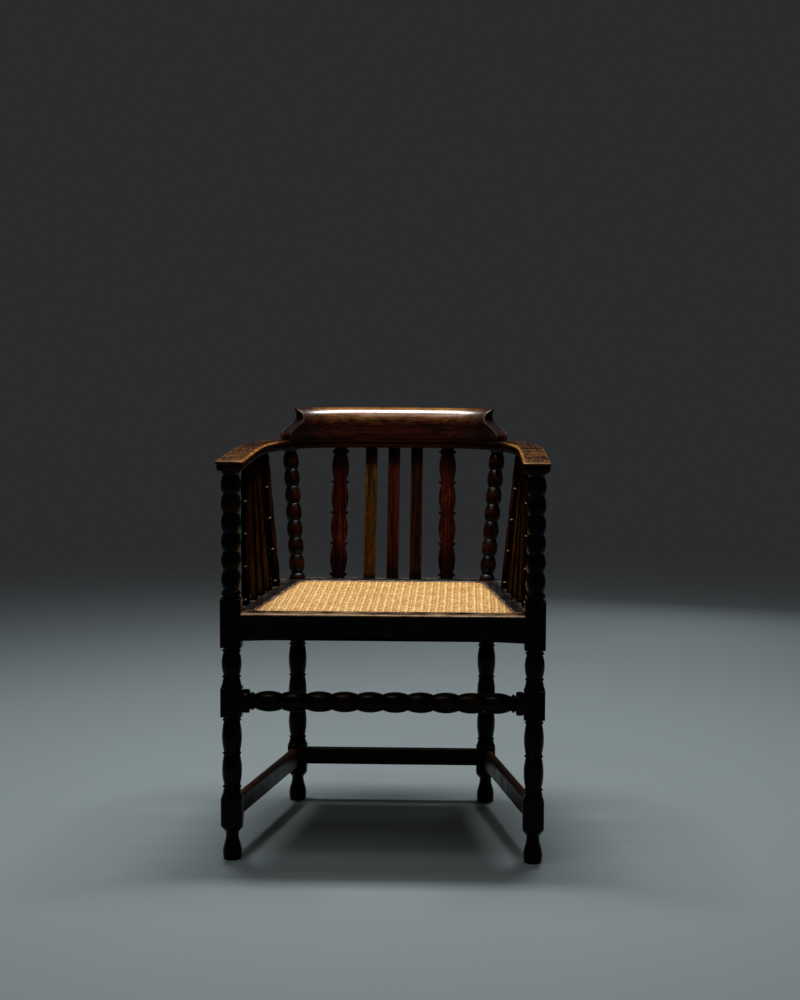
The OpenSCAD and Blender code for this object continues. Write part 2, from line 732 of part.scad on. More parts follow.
// Glue blocks in the frame's inner corners, under the board
module corner_blocks() {
    front_y = frame_front_y + skirt_thickness;
    rear_y = frame_rear_y - skirt_thickness;
    reach = front_leg_x;
    color(beech_pale)
    for (side = [0, 1]) mirror([side, 0, 0])
        translate([0, 0, board_base - corner_block_height])
            linear_extrude(corner_block_height)
                intersection() {
                    polygon(frame_outline(skirt_thickness, frame_corner_r / 2));
                    union() {
                        polygon([
                            [side_x(front_y, skirt_thickness) - corner_block_side, front_y],
                            [reach, front_y], [reach, front_y + corner_block_side],
                            [side_x(front_y + corner_block_side, skirt_thickness), front_y + corner_block_side]
                        ]);
                        polygon([
                            [side_x(rear_y, skirt_thickness) - corner_block_side, rear_y],
                            [reach, rear_y], [reach, rear_y - corner_block_side],
                            [side_x(rear_y - corner_block_side, skirt_thickness), rear_y - corner_block_side]
                        ]);
                    }
                }
}

module cane_seat() {
    fit = 0.5;
    color(cane_straw)
    translate([0, 0, seat_height - cane_drop - cane_thickness])
        linear_extrude(cane_thickness) polygon(frame_outline(rail_width + fit, cane_corner_r - fit));
}

// Stretchers

front_stretcher_profile = concat(
    [[0, 0], [stretcher_collar_d / 2 - 4, 0], [stretcher_collar_d / 2 - 1, 1.5], [stretcher_collar_d / 2, 4],
     [stretcher_collar_d / 2, stretcher_collar_width - 3], [stretcher_collar_d / 2 - 2, stretcher_collar_width - 1],
     [stretcher_neck_d / 2, stretcher_collar_width]],
    bead(stretcher_collar_width + 0.5, stretcher_collar_width + 0.7 * stretcher_bead_width,
         stretcher_neck_d / 2 - 1, stretcher_bead_d / 2, 5, 0.6),
    [[stretcher_neck_d / 2 - 1, stretcher_collar_width + 0.8 * stretcher_bead_width]]
);
stretcher_end = stretcher_collar_width + stretcher_bead_width;
stretcher_run = 2 * front_block_inner_x;
stretcher_bobbins = 10;
function reversed(points, length) = [for (i = [len(points) - 1:-1:0]) [points[i][0], length - points[i][1]]];

module front_stretcher() {
    color(oak_black)
    union() {
        translate([-front_block_inner_x, leg_y, stretcher_z]) rotate([0, 90, 0])
            rotate_extrude($fn = 72)
                polygon(concat(
                    front_stretcher_profile,
                    bobbins(stretcher_end, stretcher_run - stretcher_end, stretcher_bobbins,
                            stretcher_neck_d / 2, stretcher_bobbin_d / 2),
                    reversed(front_stretcher_profile, stretcher_run)));
        front_stretcher_tenons(0, 0);
    }
}

module side_stretcher() {
    color(oak_brown)
    union() {
        side_stretcher_bar(front_block_rear_y, rear_block_front_y, low_stretcher_thickness, low_stretcher_height);
        side_stretcher_tenons(0, 0);
    }
}

module rear_stretcher() {
    half = rear_leg_x - block_half;
    color(oak_brown)
    union() {
        translate([-half, rear_leg_y - low_stretcher_thickness / 2, low_stretcher_z - low_stretcher_height / 2])
            cube([2 * half, low_stretcher_thickness, low_stretcher_height]);
        rear_stretcher_tenons(0, 0);
    }
}

// Arm bow

// Screws through the bow up into the crest rail: two in each arm's end and four in the back rail
arm_screw_xs = [back_rail_half + 18, back_rail_half + 42];
rail_screw_xs = [back_rail_half - 18, back_rail_half - 72];
function screw_places(xs) = [for (x = xs) bow_point(phi_at_x(x), 4)];
screw_head_height = (screw_head_d - screw_d) / 2;

module screw(clearance, extra) {
    translate([0, 0, bow_under]) {
        cylinder(d = screw_d + 2 * clearance, h = screw_length + extra, $fn = 32);
        cylinder(d1 = screw_head_d + 2 * clearance, d2 = screw_d + 2 * clearance, h = screw_head_height, $fn = 32);
    }
}

module screw_holes(xs) {
    for (place = screw_places(xs)) translate(place) {
        screw(joint_clearance, end_room);
        translate([0, 0, bow_under - past]) cylinder(d = screw_head_d + 2 * joint_clearance, h = past, $fn = 32);
    }
}

module joint_dowels(clearance, extra) {
    out = bow_outward(back_joint_phi);
    half = dowel_length / 2 + extra;
    for (off = [-dowel_spacing / 2, dowel_spacing / 2]) {
        place = bow_point(back_joint_phi, off);
        translate([place[0], place[1], bow_under + bow_thickness * 0.62])
            rotate([0, 0, atan2(out[1], out[0])]) rotate([90, 0, 0])
                translate([0, 0, -half]) cylinder(d = dowel_d + 2 * clearance, h = 2 * half, $fn = 32);
    }
}

module arm() {
    color(oak_golden)
    difference() {
        union() for (layer = bow_layers) bow_layer(layer, arm_points(layer[2]));
        arm_post_tenon(joint_clearance, end_room);
        rear_post_tenons(joint_clearance, end_room);
        slat_mortises(side_slats(1), slat_width);
        slat_mortises(side_splats(1), splat_notch_width);
        joint_dowels(joint_clearance, end_room);
        screw_holes(arm_screw_xs);
    }
}

module back_rail() {
    color(oak_golden)
    difference() {
        union() for (layer = bow_layers) bow_layer(layer, back_points(layer[2]));
        slat_mortises(back_slats, slat_width);
        slat_mortises(back_splats, splat_notch_width);
        for (side = [0, 1]) mirror([side, 0, 0]) {
            joint_dowels(joint_clearance, end_room);
            screw_holes(rail_screw_xs);
        }
    }
}

module bow_dowels() {
    color(beech_pale)
    for (side = [0, 1]) mirror([side, 0, 0]) joint_dowels(0, 0);
}

// Crest rail: its section is carried along the bow, and each height has its own length

crest_front = -bow_width / 2 + crest_setback;
crest_back = crest_front + crest_thickness;
crest_back_r = 7;
crest_top_front = crest_front + crest_hollow + crest_roll_r;
crest_top_back = crest_back - 1 - crest_back_r;
crest_roll_z = crest_height - crest_roll_r;
crest_back_z = crest_height - crest_back_r;
crest_levels = [for (t = [0, 0.15, 0.3, 0.45, 0.6, 0.8, 1]) t * crest_roll_z];
crest_top_levels = [for (a = [18, 36, 54, 72, 90]) crest_roll_z + crest_roll_r * sin(a)];
function crest_face(z) = z <= crest_roll_z
    ? crest_front + crest_hollow * pow(sin(90 * z / crest_roll_z), 2)
    : crest_top_front - sqrt(max(0, pow(crest_roll_r, 2) - pow(z - crest_roll_z, 2)));
function crest_rear(z) = z <= crest_back_z
    ? crest_back - z / crest_back_z
    : crest_top_back + sqrt(max(0, pow(crest_back_r, 2) - pow(z - crest_back_z, 2)));
function smooth(t) = let (u = min(1, max(0, t))) u * u * (3 - 2 * u);
function crest_end(z) = crest_half - crest_ogee * smooth((z / crest_height - 0.15) / 0.58)
    + crest_flare * smooth((z / crest_height - 0.83) / 0.17);

crest_steps = 36;
crest_zs = concat(crest_levels, crest_top_levels);
crest_rows = len(crest_zs);
// Points in rings: up the front face, then down the back
function crest_point(t, z, off) =
    let (p = bow_point(phi_at_x(t * crest_end(z)), off)) [p[0], p[1], arm_height + z];
function crest_ring(i) =
    let (t = 2 * i / crest_steps - 1)
    concat(
        [for (z = crest_zs) crest_point(t, z, crest_face(z))],
        [for (k = [crest_rows - 1:-1:0]) crest_point(t, crest_zs[k], crest_rear(crest_zs[k]))]);
crest_ring_size = 2 * crest_rows;
crest_points = [for (i = [0:crest_steps]) each crest_ring(i)];
crest_skin = [for (i = [0:crest_steps - 1], k = [0:crest_ring_size - 1])
    let (a = i * crest_ring_size + k,
         b = i * crest_ring_size + (k + 1) % crest_ring_size,
         c = b + crest_ring_size,
         d = a + crest_ring_size)
    each [[a, c, b], [a, d, c]]];
// Each end is a ruled strip from the front edge to the back edge
crest_caps = [for (i = [0, crest_steps], k = [0:crest_rows - 2])
    let (base = i * crest_ring_size, a = base + k, b = a + 1,
         c = base + crest_ring_size - 2 - k, d = c + 1)
    each i == 0 ? [[a, b, c], [a, c, d]] : [[a, c, b], [a, d, c]]];

module crest_rail() {
    color(oak_brown)
    difference() {
        polyhedron(points = crest_points, faces = concat(crest_skin, crest_caps), convexity = 6);
        for (side = [0, 1]) mirror([side, 0, 0]) screw_holes(concat(arm_screw_xs, rail_screw_xs));
    }
}

module crest_screws() {
    color(steel_dark)
    for (side = [0, 1]) mirror([side, 0, 0])
        for (place = screw_places(concat(arm_screw_xs, rail_screw_xs))) translate(place) screw(0, 0);
}

// Nodes, in the order of assembly

mirror([1, 0, 0]) front_leg();  // front_leg_left
front_leg();  // front_leg_right
mirror([1, 0, 0]) rear_leg();  // rear_leg_left
rear_leg();  // rear_leg_right
seat_rail_front();
seat_rail_back();
mirror([1, 0, 0]) seat_rail_side();  // seat_rail_left
seat_rail_side();  // seat_rail_right
corner_blocks();
cane_seat();
front_stretcher();
mirror([1, 0, 0]) side_stretcher();  // side_stretcher_left
side_stretcher();  // side_stretcher_right
rear_stretcher();
color(oak_brown) mirror([1, 0, 0]) rear_post();  // rear_post_left
color(oak_brown) rear_post();  // rear_post_right
color(oak_brown) splat(side_splats(-1)[0]);  // side_splat_left_front
color(oak_brown) splat(side_splats(-1)[1]);  // side_splat_left_rear
color(oak_brown) splat(side_splats(1)[0]);  // side_splat_right_front
color(oak_brown) splat(side_splats(1)[1]);  // side_splat_right_rear
color(oak_golden) plain_slat(side_slats(-1)[0]);  // side_slat_left_1
color(oak_golden) plain_slat(side_slats(-1)[1]);  // side_slat_left_2
color(oak_golden) plain_slat(side_slats(-1)[2]);  // side_slat_left_3
color(oak_golden) plain_slat(side_slats(1)[0]);  // side_slat_right_1
color(oak_golden) plain_slat(side_slats(1)[1]);  // side_slat_right_2
color(oak_golden) plain_slat(side_slats(1)[2]);  // side_slat_right_3
color(oak_brown) splat(back_splats[0]);  // back_splat_left
color(oak_brown) splat(back_splats[1]);  // back_splat_right
color(oak_golden) plain_slat(back_slats[0]);  // back_slat_left
color(oak_golden) plain_slat(back_slats[1]);  // back_slat_centre
color(oak_golden) plain_slat(back_slats[2]);  // back_slat_right
mirror([1, 0, 0]) arm();  // arm_left
arm();  // arm_right
back_rail();
bow_dowels();
crest_rail();
crest_screws();
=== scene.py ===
# Captain's armchair in old dark oak: bobbin-turned legs, moulded arm bow, fretted splats, close-caned seat.
# Sizes are in millimetres and meshes in metres. +X is the viewer's right from the front, +Y the back, +Z up.
import math
from functools import partial
import bmesh
import bpy
import numpy as np
from mathutils import Matrix


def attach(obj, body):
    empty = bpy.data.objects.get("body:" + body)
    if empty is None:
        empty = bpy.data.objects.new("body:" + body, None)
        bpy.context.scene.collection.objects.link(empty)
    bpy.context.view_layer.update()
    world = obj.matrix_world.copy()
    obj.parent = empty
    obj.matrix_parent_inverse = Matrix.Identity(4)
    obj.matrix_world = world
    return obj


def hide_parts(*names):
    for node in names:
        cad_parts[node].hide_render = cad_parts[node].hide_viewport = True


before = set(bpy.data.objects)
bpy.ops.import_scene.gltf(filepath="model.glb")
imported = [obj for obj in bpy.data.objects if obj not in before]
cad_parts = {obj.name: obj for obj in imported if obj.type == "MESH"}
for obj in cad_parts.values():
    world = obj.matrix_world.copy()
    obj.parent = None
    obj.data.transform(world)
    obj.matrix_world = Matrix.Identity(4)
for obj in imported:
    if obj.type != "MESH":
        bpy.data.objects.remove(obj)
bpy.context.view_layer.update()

# Front legs. Each is one square stick of oak, turned between its three blocks, from the vase-shaped foot up
# to the arm. The polish is nearly black, rubbed brown on the bellies and arrises.
front_leg_x, leg_y = 265, -270
block_half, past_corners = 18.5, 27.5
foot_height, foot_sole, foot_belly, foot_neck = 44, 15.5, 16.75, 11.25
belly_share = 0.32
low_block_base, low_block_height = 57, 56
mid_block_base, mid_block_height = 257, 52
seat_block_base, seat_block_top = 380, 466
leg_neck, leg_ring, leg_oval = 14, 16.5, 17.5
ring_height, shoulder_height, shoulder_gap, step_height = 4.5, 15, 0.25, 5.25
post_neck, post_belly, post_bobbins = 13.5, 17.5, 6
bow_under = 689
sides = (("left", -1), ("right", 1))


def linear(code):
    """Linear RGBA of an sRGB hex code: c / 12.92 up to 0.04045, else ((c + 0.055) / 1.055) ^ 2.4."""
    c = np.array([int(code[i:i + 2], 16) for i in (1, 3, 5)]) / 255
    return (*np.where(c <= 0.04045, c / 12.92, ((c + 0.055) / 1.055) ** 2.4), 1.0)


def add_node(tree, kind, inputs=(), stops=(), **settings):
    """Adds one node. Settings are its properties. Inputs are its sockets' values, in order or by name or
    number: a number, a colour, an output, or a node, which stands for its first output in use. Stops are a
    ramp's places and colours, its two ends first."""
    node = tree.nodes.new("ShaderNode" + kind)
    for key, value in settings.items():
        setattr(node, key, value)
    for socket, value in inputs.items() if isinstance(inputs, dict) else enumerate(inputs):
        if isinstance(value, bpy.types.Node):
            value = next(output for output in value.outputs if output.enabled)
        if isinstance(value, bpy.types.NodeSocket):
            tree.links.new(value, node.inputs[socket])
        else:
            node.inputs[socket].default_value = value
    for i, (place, colour) in enumerate(stops):
        stop = node.color_ramp.elements[i] if i < 2 else node.color_ramp.elements.new(place)
        stop.position = place
        stop.color = linear(colour)
    return node


def new_material(name):
    """A material with no nodes yet, and the function that adds them to it."""
    material = bpy.data.materials.new(name)
    material.use_nodes = True
    material.node_tree.nodes.clear()
    return material, partial(add_node, material.node_tree)


def polished_oak(name, deep, body, worn_and_highlight, rough, gloss, coat=0.0, pore=0.55, pore_wide=0.9, pore_share=0.46):
    """Oak, stained and shellac-polished: growth bands give soft stripes along the fibres, open pores short
    dark dashes, hands and cloths rub the polish to the golden wood on edges, and dirt stays in corners. On
    some pieces the worn colour also paints highlights, sheen and glints, and the darkening paints shade and
    shadows."""
    material, add = new_material(name)
    grain = add("Attribute", attribute_name="grain").outputs["Vector"]
    wear_and_highlight = add("Attribute", attribute_name="wear_and_highlight").outputs["Fac"]
    dirt_and_shade = add("Attribute", attribute_name="dirt_and_shade").outputs["Fac"]
    # Sizes across, across and along the fibres, in mm. Real pores are 0.3 wide, and these 0.9 or more, so
    # that they show. The polish is uneven in patches
    band_size, streak_size = np.array([6.25, 6.25, 500 / 3]), np.array([5 / 3, 5 / 3, 62.5])
    pore_size, patch_size = np.array([pore_wide, pore_wide, 100 / 7]), 100 / 3
    band_at = add("Mapping", {"Vector": grain, "Scale": 1 / band_size})
    band = add("TexNoise", {"Vector": band_at, "Scale": 1.0, "Detail": 5.0, "Distortion": 0.6})
    streak_at = add("Mapping", {"Vector": grain, "Scale": 1 / streak_size})
    streak = add("TexNoise", {"Vector": streak_at, "Scale": 1.0, "Detail": 3.0})
    pore_at = add("Mapping", {"Vector": grain, "Scale": 1 / pore_size})
    pores = add("TexNoise", {"Vector": pore_at, "Scale": 1.0, "Detail": 2.0})
    patch = add("TexNoise", {"Vector": grain, "Scale": 1 / patch_size, "Detail": 3.0})
    tone = add("Math", [band, streak], operation="ADD")
    tone_step = add("MapRange", {"Value": tone, "From Min": 0.87, "From Max": 1.15})
    wood = add("Mix", {0: tone_step, 6: linear(deep), 7: linear(body)}, data_type="RGBA")
    uneven = add("Math", [patch, streak], operation="ADD")
    # The worn colour comes in with the wear: real wear, and on some pieces painted highlights, sheen and
    # glints
    wear_highlight_at = add("Math", [uneven, 0.8, wear_and_highlight], operation="MULTIPLY_ADD")
    wear_highlight_step = add("MapRange", {"Value": wear_highlight_at, "From Min": 1.0, "From Max": 1.75})
    rubbed_and_highlit = add("Mix", {0: wear_highlight_step, 6: wood, 7: linear(worn_and_highlight)}, data_type="RGBA")
    pore_step = add("MapRange", {"Value": pores, "From Min": pore_share - 0.08,
                                 "From Max": pore_share + 0.08, "To Min": 1.0 - pore, "To Max": 1.0})
    # Darkening by the dirt attribute: real dirt, and on some pieces painted shade and shadows
    dirt_and_shade_dim = add("MapRange", {"Value": dirt_and_shade, "To Min": 1.0, "To Max": 0.12})
    shade = add("Math", [pore_step, dirt_and_shade_dim], operation="MULTIPLY")
    colour = add("Mix", {0: 1.0, 6: rubbed_and_highlit, 7: shade}, data_type="RGBA", blend_type="MULTIPLY")
    patchy = add("MapRange", {"Value": patch, "From Min": 0.3, "From Max": 0.7,
                              "To Min": rough - 0.06, "To Max": rough + 0.1})
    dull = add("Math", [dirt_and_shade, 0.35, patchy], operation="MULTIPLY_ADD")
    clean = add("MapRange", {"Value": dirt_and_shade, "To Min": coat, "To Max": 0.0})
    relief = add("Bump", {"Height": pore_step, "Strength": 0.35, "Distance": 0.00012})
    shader = add("BsdfPrincipled", {
        "Base Color": colour, "Roughness": dull, "Normal": relief, "IOR": 1.5, "Specular IOR Level": gloss,
        "Coat Weight": clean, "Coat Roughness": 0.22})
    add("OutputMaterial", {"Surface": shader})
    return material


def grid(x, y, z):
    """Points from three coordinates, each repeated over the rows or columns that it doesn't depend on."""
    return np.stack(np.broadcast_arrays(x, y, z), -1).astype(float)


def loops(rows, columns, caps=True):
    """Faces of a skin over closed loops: point (i, j) is joined to (i + 1, j) and to (i, j + 1), where j
    wraps round, and the first and last loops are each closed by one face."""
    i, j = np.meshgrid(np.arange(rows - 1), np.arange(columns), indexing="ij")
    a, b = i * columns + j, i * columns + (j + 1) % columns
    quads = np.stack([a, b, b + columns, a + columns], -1).reshape(-1, 4).tolist()
    last = (rows - 1) * columns
    ends = [list(range(columns))[::-1], list(range(last, last + columns))]
    return quads + (ends if caps else [])


def solid(node, how, points, finish, grain, wear_and_highlight=0.0, dirt_and_shade=0.0, faces=None):
    """A piece in the place of a node, from a grid of points in mm, whose rows are closed loops where no
    faces are given. Doubles are merged, and where the signed volume, the sum of a . (b x c) / 6 over its
    triangles, is below nothing, the faces are turned round. Grain is the place of each point in mm across
    and along the fibres, shifted for each piece so that no two have the same figure. Wear and dirt run from
    0 to 1; on some pieces the wear paints highlights, sheen and glints, and the dirt paints shade and
    shadows."""
    grid_size = points.shape[:-1]
    mesh = bpy.data.meshes.new(f"{node}_{how}")
    mesh.from_pydata((points.reshape(-1, 3) / 1000).tolist(), [], faces or loops(*grid_size))
    shift = np.array([41.0, 83.0, 157.0]) * (1 + len(bpy.data.meshes))
    layer = mesh.attributes.new("grain", "FLOAT_VECTOR", "POINT")
    layer.data.foreach_set("vector", (grain.reshape(-1, 3) + shift).ravel())
    for key, values in (("wear_and_highlight", wear_and_highlight), ("dirt_and_shade", dirt_and_shade)):
        layer = mesh.attributes.new(key, "FLOAT", "POINT")
        values = np.clip(np.broadcast_to(values, grid_size), 0, 1).astype(float)
        layer.data.foreach_set("value", values.ravel())
    shape = bmesh.new()
    shape.from_mesh(mesh)
    bmesh.ops.remove_doubles(shape, verts=shape.verts, dist=2e-6)
    bmesh.ops.dissolve_degenerate(shape, dist=1e-7, edges=shape.edges)
    if shape.calc_volume(signed=True) < 0:
        bmesh.ops.reverse_faces(shape, faces=shape.faces)
    shape.to_mesh(mesh)
    shape.free()
    mesh.polygons.foreach_set("use_smooth", np.ones(len(mesh.polygons), bool))
    mesh.set_sharp_from_angle(angle=math.radians(40))
    mesh.materials.append(finish)
    piece = bpy.data.objects.new(mesh.name, mesh)
    bpy.context.scene.collection.objects.link(piece)
    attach(piece, "root")
    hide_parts(node)


def fade(value, start, width):
    """0 up to the start, 1 from start + width on, straight between. A width below 0 runs the other way."""
    return np.clip((value - start) / width, 0, 1)


def along(line, step):
    """A polyline with points added every step along it, each coordinate interpolated over the length."""
    line = np.asarray(line, float)
    run = np.concatenate([[0], np.cumsum(np.linalg.norm(np.diff(line, axis=0), axis=1))])
    at = np.unique(np.concatenate([run, np.arange(0, run[-1], step)]).round(4))
    return np.stack([np.interp(at, run, line[:, k]) for k in range(line.shape[1])], 1)


def bead(z0, z1, neck, belly, fullness=0.75, count=18):
    """A bead: radius = neck + (belly - neck) * sin(pi t) ^ fullness, for t from 0 at z0 to 1 at z1."""
    t = np.linspace(0, 1, count)
    return np.stack([neck + (belly - neck) * np.sin(np.pi * t).clip(0) ** fullness, z0 + (z1 - z0) * t], 1)


def bobbins(z0, z1, count, neck, belly):
    """A row of count equal beads between z0 and z1, parted by sharp valleys."""
    edges = np.linspace(z0, z1, count + 1)
    return np.concatenate([bead(a, b, neck, belly) for a, b in zip(edges[:-1], edges[1:])])


def foot():
    """The vase foot: a quarter sine from the sole to the widest part, then half a cosine in to the neck. A
    small round runs along the sole's edge."""
    t = np.linspace(0, 1, 40)
    low = foot_sole + (foot_belly - foot_sole) * np.sin(np.pi / 2 * t / belly_share)
    half_swell = (foot_belly - foot_neck) / 2
    high = foot_neck + half_swell * (1 + np.cos(np.pi * (t - belly_share) / (1 - belly_share)))
    curve = np.stack([np.where(t < belly_share, low, high), foot_height * t], 1)
    return np.concatenate([[[13.6, 0], [14.8, 0.35], [15.35, 1]], curve[curve[:, 1] > 1.2]])


def chamfer_under(z):
    """The lower end of a foot block: a cone from the foot's neck out past the block's corners."""
    return np.array([[foot_neck, z - (block_half - foot_neck) - 1], [block_half, z], [past_corners, z + 9]])


def turned_between(low, high, count, shoulder=shoulder_height):
    """The turning between two blocks, from the top of the lower to the base of the upper. The corners run
    out first, a long round shoulder draws in to the neck, then come count long ovals between narrow rings,
    and a short taper and a flat step out past the next corners."""
    across = np.array([0, 0.09, 0.24, 0.4, 0.52, 0.62, 0.72, 1])
    up = np.array([0, 0.07, 0.16, 0.33, 0.48, 0.68, 0.84, 1])
    parts = [[[past_corners, low - 3.5]],
             np.stack([block_half - (block_half - leg_neck) * across, low + shoulder * up], 1)]
    first, last = low + shoulder + shoulder_gap, high - step_height
    pitch = (last - first - ring_height) / count
    for k in range(count):
        z = first + k * pitch
        parts += [bead(z, z + ring_height, leg_neck, leg_ring, fullness=0.6, count=9),
                  bead(z + ring_height, z + pitch, leg_neck, leg_oval, fullness=0.85)]
    parts += [bead(last - ring_height, last, leg_neck, leg_ring, fullness=0.6, count=9),
              [[leg_neck, last], [block_half - 1.8, high - 0.6], [past_corners, high]]]
    return np.concatenate(parts)


def axes(low, high, side):
    """The axes of a piece from low to high, in rows: side made square to it, then up x side, and up."""
    up = np.subtract(high, low, dtype=float)
    up /= np.linalg.norm(up)
    side = np.asarray(side, float) - np.dot(side, up) * up
    side /= np.linalg.norm(side)
    return np.stack([side, np.cross(up, side), up])


def turned(profile, low, high, side=(1, 0, 0), stock=None, columns=72):
    """A profile of radius and height, turned about the line from low to high. With square stock the radius
    is (r^-40 + s^-40)^(-1/40), where s = stock / (|cos|^26 + |sin|^26)^(1/26), so that faces and turning
    meet softly. Gives points, and the same points across and along the fibres."""
    radius, z = profile[:, :1], profile[:, 1:]
    angle = np.linspace(0, 2 * np.pi, columns, endpoint=False)
    if stock:
        # Columns stand closer at the block's corners
        t = np.linspace(-1, 1, columns // 4, endpoint=False)
        quarter = np.pi / 4 * (1 + 0.45 * t + 0.55 * t ** 3)
        angle = (quarter + np.pi / 2 * np.arange(4)[:, None]).ravel()
        flat = stock / (np.abs(np.cos(angle)) ** 26 + np.abs(np.sin(angle)) ** 26) ** (1 / 26)
        radius = (radius ** -40.0 + flat ** -40.0) ** (-1 / 40)
    local = grid(radius * np.cos(angle), radius * np.sin(angle), z)
    return low + local @ axes(low, high, side), local


leg_oak = polished_oak("oak_black_polished", "#050302", "#100704", "#40210f", rough=0.25, gloss=0.07)


def turned_leg(node, x, y, profile, belly_wear=0.0):
    """A leg turned from square stock. Arrises are rubbed, bellies a little, and soil is in the valleys."""
    points, local = turned(profile, (x, y, 0), (x, y, 100), stock=block_half, columns=96)
    reach = np.linalg.norm(local[..., :2], axis=-1)
    arris = fade(reach, 23.5, 2.2)
    belly = fade(reach, 15.6, 2.4) * (reach < 18.2)
    valley = fade(reach, 15.2, -1.6) * (local[..., 2] > foot_height + 6)
    solid(node, "turned", points, leg_oak, local, 0.4 * arris + belly_wear * belly, 0.7 * valley)


front_leg_profile = along(np.concatenate([
    foot(), chamfer_under(low_block_base),
    turned_between(low_block_base + low_block_height, mid_block_base, 2),
    turned_between(mid_block_base + mid_block_height, seat_block_base, 1),
    [[past_corners, seat_block_top - 2.8], [26.2, seat_block_top - 1.6], [18.4, seat_block_top - 0.8],
     [post_neck, seat_block_top]],
    bead(seat_block_top + 0.5, seat_block_top + 13, post_neck, post_belly, fullness=0.5),
    bobbins(seat_block_top + 14, bow_under - 8, post_bobbins, post_neck, post_belly),
    [[post_neck + 1.2, bow_under - 6], [post_neck + 2.5, bow_under - 3.5],
     [post_neck + 3, bow_under + 3]]]), 1.8)
for side_name, side in sides:
    turned_leg(f"front_leg_{side_name}", side * front_leg_x, leg_y, front_leg_profile, belly_wear=0.2)

# Rear legs. Turned like the front ones from square oak, but they end in a square top under the seat frame,
# with a round tenon up into it.
rear_leg_x, rear_leg_y = 185, 160
rear_block_base, rear_block_height, rear_cap_height = 55, 57, 12
rail_base = 392
rear_leg_profile = along(np.concatenate([
    foot(), chamfer_under(rear_block_base),
    turned_between(rear_block_base + rear_block_height, rail_base - rear_cap_height, 4, shoulder=11.25),
    [[past_corners, rail_base]]]), 1.8)
for side_name, side in sides:
    turned_leg(f"rear_leg_{side_name}", side * rear_leg_x, rear_leg_y, rear_leg_profile)

# Front stretcher. Oak turned between centres: ten bobbins, with a bead and a collar at each end, and round
# tenons into the middle blocks of the front legs.
stretcher_z = 283
stretcher_half = front_leg_x - block_half
stretcher_bobbins, bobbin_neck, bobbin_belly = 10, 13.75, 18.25
end_length, end_neck, end_belly = 25, 12.8, 16
collar = [[17, -2], [17, 0], [19.2, 0.4], [20.4, 1.8], [21, 4.2], [21, 10.6], [20.4, 12.2], [19, 13.2],
          [13.6, 14]]
end_bead = bead(14.5, 21.7, end_neck, end_belly, fullness=0.6, count=10)
end_turning = np.concatenate([collar, end_bead, [[end_neck, 22.8]]])
stretcher_profile = along(np.concatenate([
    end_turning,
    bobbins(end_length, 2 * stretcher_half - end_length, stretcher_bobbins, bobbin_neck, bobbin_belly),
    (end_turning * [1, -1] + [0, 2 * stretcher_half])[::-1]]), 1.8)
points, local = turned(stretcher_profile, (-stretcher_half, leg_y, stretcher_z), (0, leg_y, stretcher_z),
                       side=(0, -1, 0))
reach = np.linalg.norm(local[..., :2], axis=-1)
solid("front_stretcher", "turned", points, leg_oak, local,
      0.3 * fade(reach, 16, 2.2) * (reach < 18.6), 0.7 * fade(reach, 15, -1.5))

# Low stretchers. Three plain oak bars, planed, with tenons into the lowest blocks. Shoes have rubbed their
# outer upper edges, and their inner upper faces are dull with floor wax and dust.
bar_z, bar_half_height, bar_half, bar_start = 88.5, 15.5, 9, 13


def rounded_bar(low, high, side, half_width, half_depth, radius=1.2, step=12.0):
    """A bar from low to high with the section of a rounded oblong: corners of the radius given, with their
    middles at (+-(w - r), +-(d - r)), and faces in fifths. The half width is a number, or rows of height and
    half width. Gives points and local points."""
    if np.ndim(half_width):
        at, width = half_width.T
    else:
        length = np.linalg.norm(np.subtract(high, low))
        at = np.linspace(0, length, max(2, int(length / step) + 1))
        width = np.full(len(at), float(half_width))
    turn = np.radians([4, 30, 60, 86])
    fifths = np.array([0.6, 0.2, -0.2, -0.6])
    corner = np.stack([radius * np.cos(turn), radius * np.sin(turn)], 1)
    w, d = (width - radius)[:, None], half_depth - radius
    half_x = np.concatenate([w + corner[:, 0], w * fifths, -w - corner[::-1, 0]], 1)
    half_y = np.concatenate([d + corner[:, 1], np.full(4, half_depth), d + corner[::-1, 1]])
    local = grid(np.concatenate([half_x, -half_x], 1), np.concatenate([half_y, -half_y]), at[:, None])
    return low + local @ axes(low, high, side), local


def edge_wear(local, half_width, half_depth, reach=2.5):
    """1 on a bar's four arrises, falling to 0 over the reach: the root of the nearness of both faces."""
    near_x = fade(np.abs(local[..., 0]), half_width - reach, reach)
    near_y = fade(np.abs(local[..., 1]), half_depth - reach, reach)
    return np.sqrt(near_x * near_y)


bar_oak = polished_oak("oak_brown_waxed", "#080402", "#1a0d07", "#8c5226", rough=0.34, gloss=0.12)
front_left, front_right = (-front_leg_x, leg_y, bar_z), (front_leg_x, leg_y, bar_z)
rear_left, rear_right = (-rear_leg_x, rear_leg_y, bar_z), (rear_leg_x, rear_leg_y, bar_z)
for node, low, high in (("side_stretcher_left", front_left, rear_left),
                        ("side_stretcher_right", front_right, rear_right),
                        ("rear_stretcher", rear_left, rear_right)):
    run = axes(low, high, (0, 0, 1))[2]
    points, local = rounded_bar(low + bar_start * run, high - bar_start * run, (0, 0, 1),
                                bar_half_height, bar_half)
    outwards = np.sign(low[0] + high[0])
    on_top = local[..., 0] > bar_half_height - 0.5
    outer_edge = on_top & (local[..., 1] * outwards > 0)
    inner_top = on_top & (np.abs(local[..., 1]) < bar_half - 1) & ~outer_edge
    arrises = 0.4 * edge_wear(local, bar_half_height, bar_half) * ~inner_top
    solid(node, "planed", points, bar_oak, local,
          np.maximum(0.55 * outer_edge, arrises), 0.6 * inner_top)
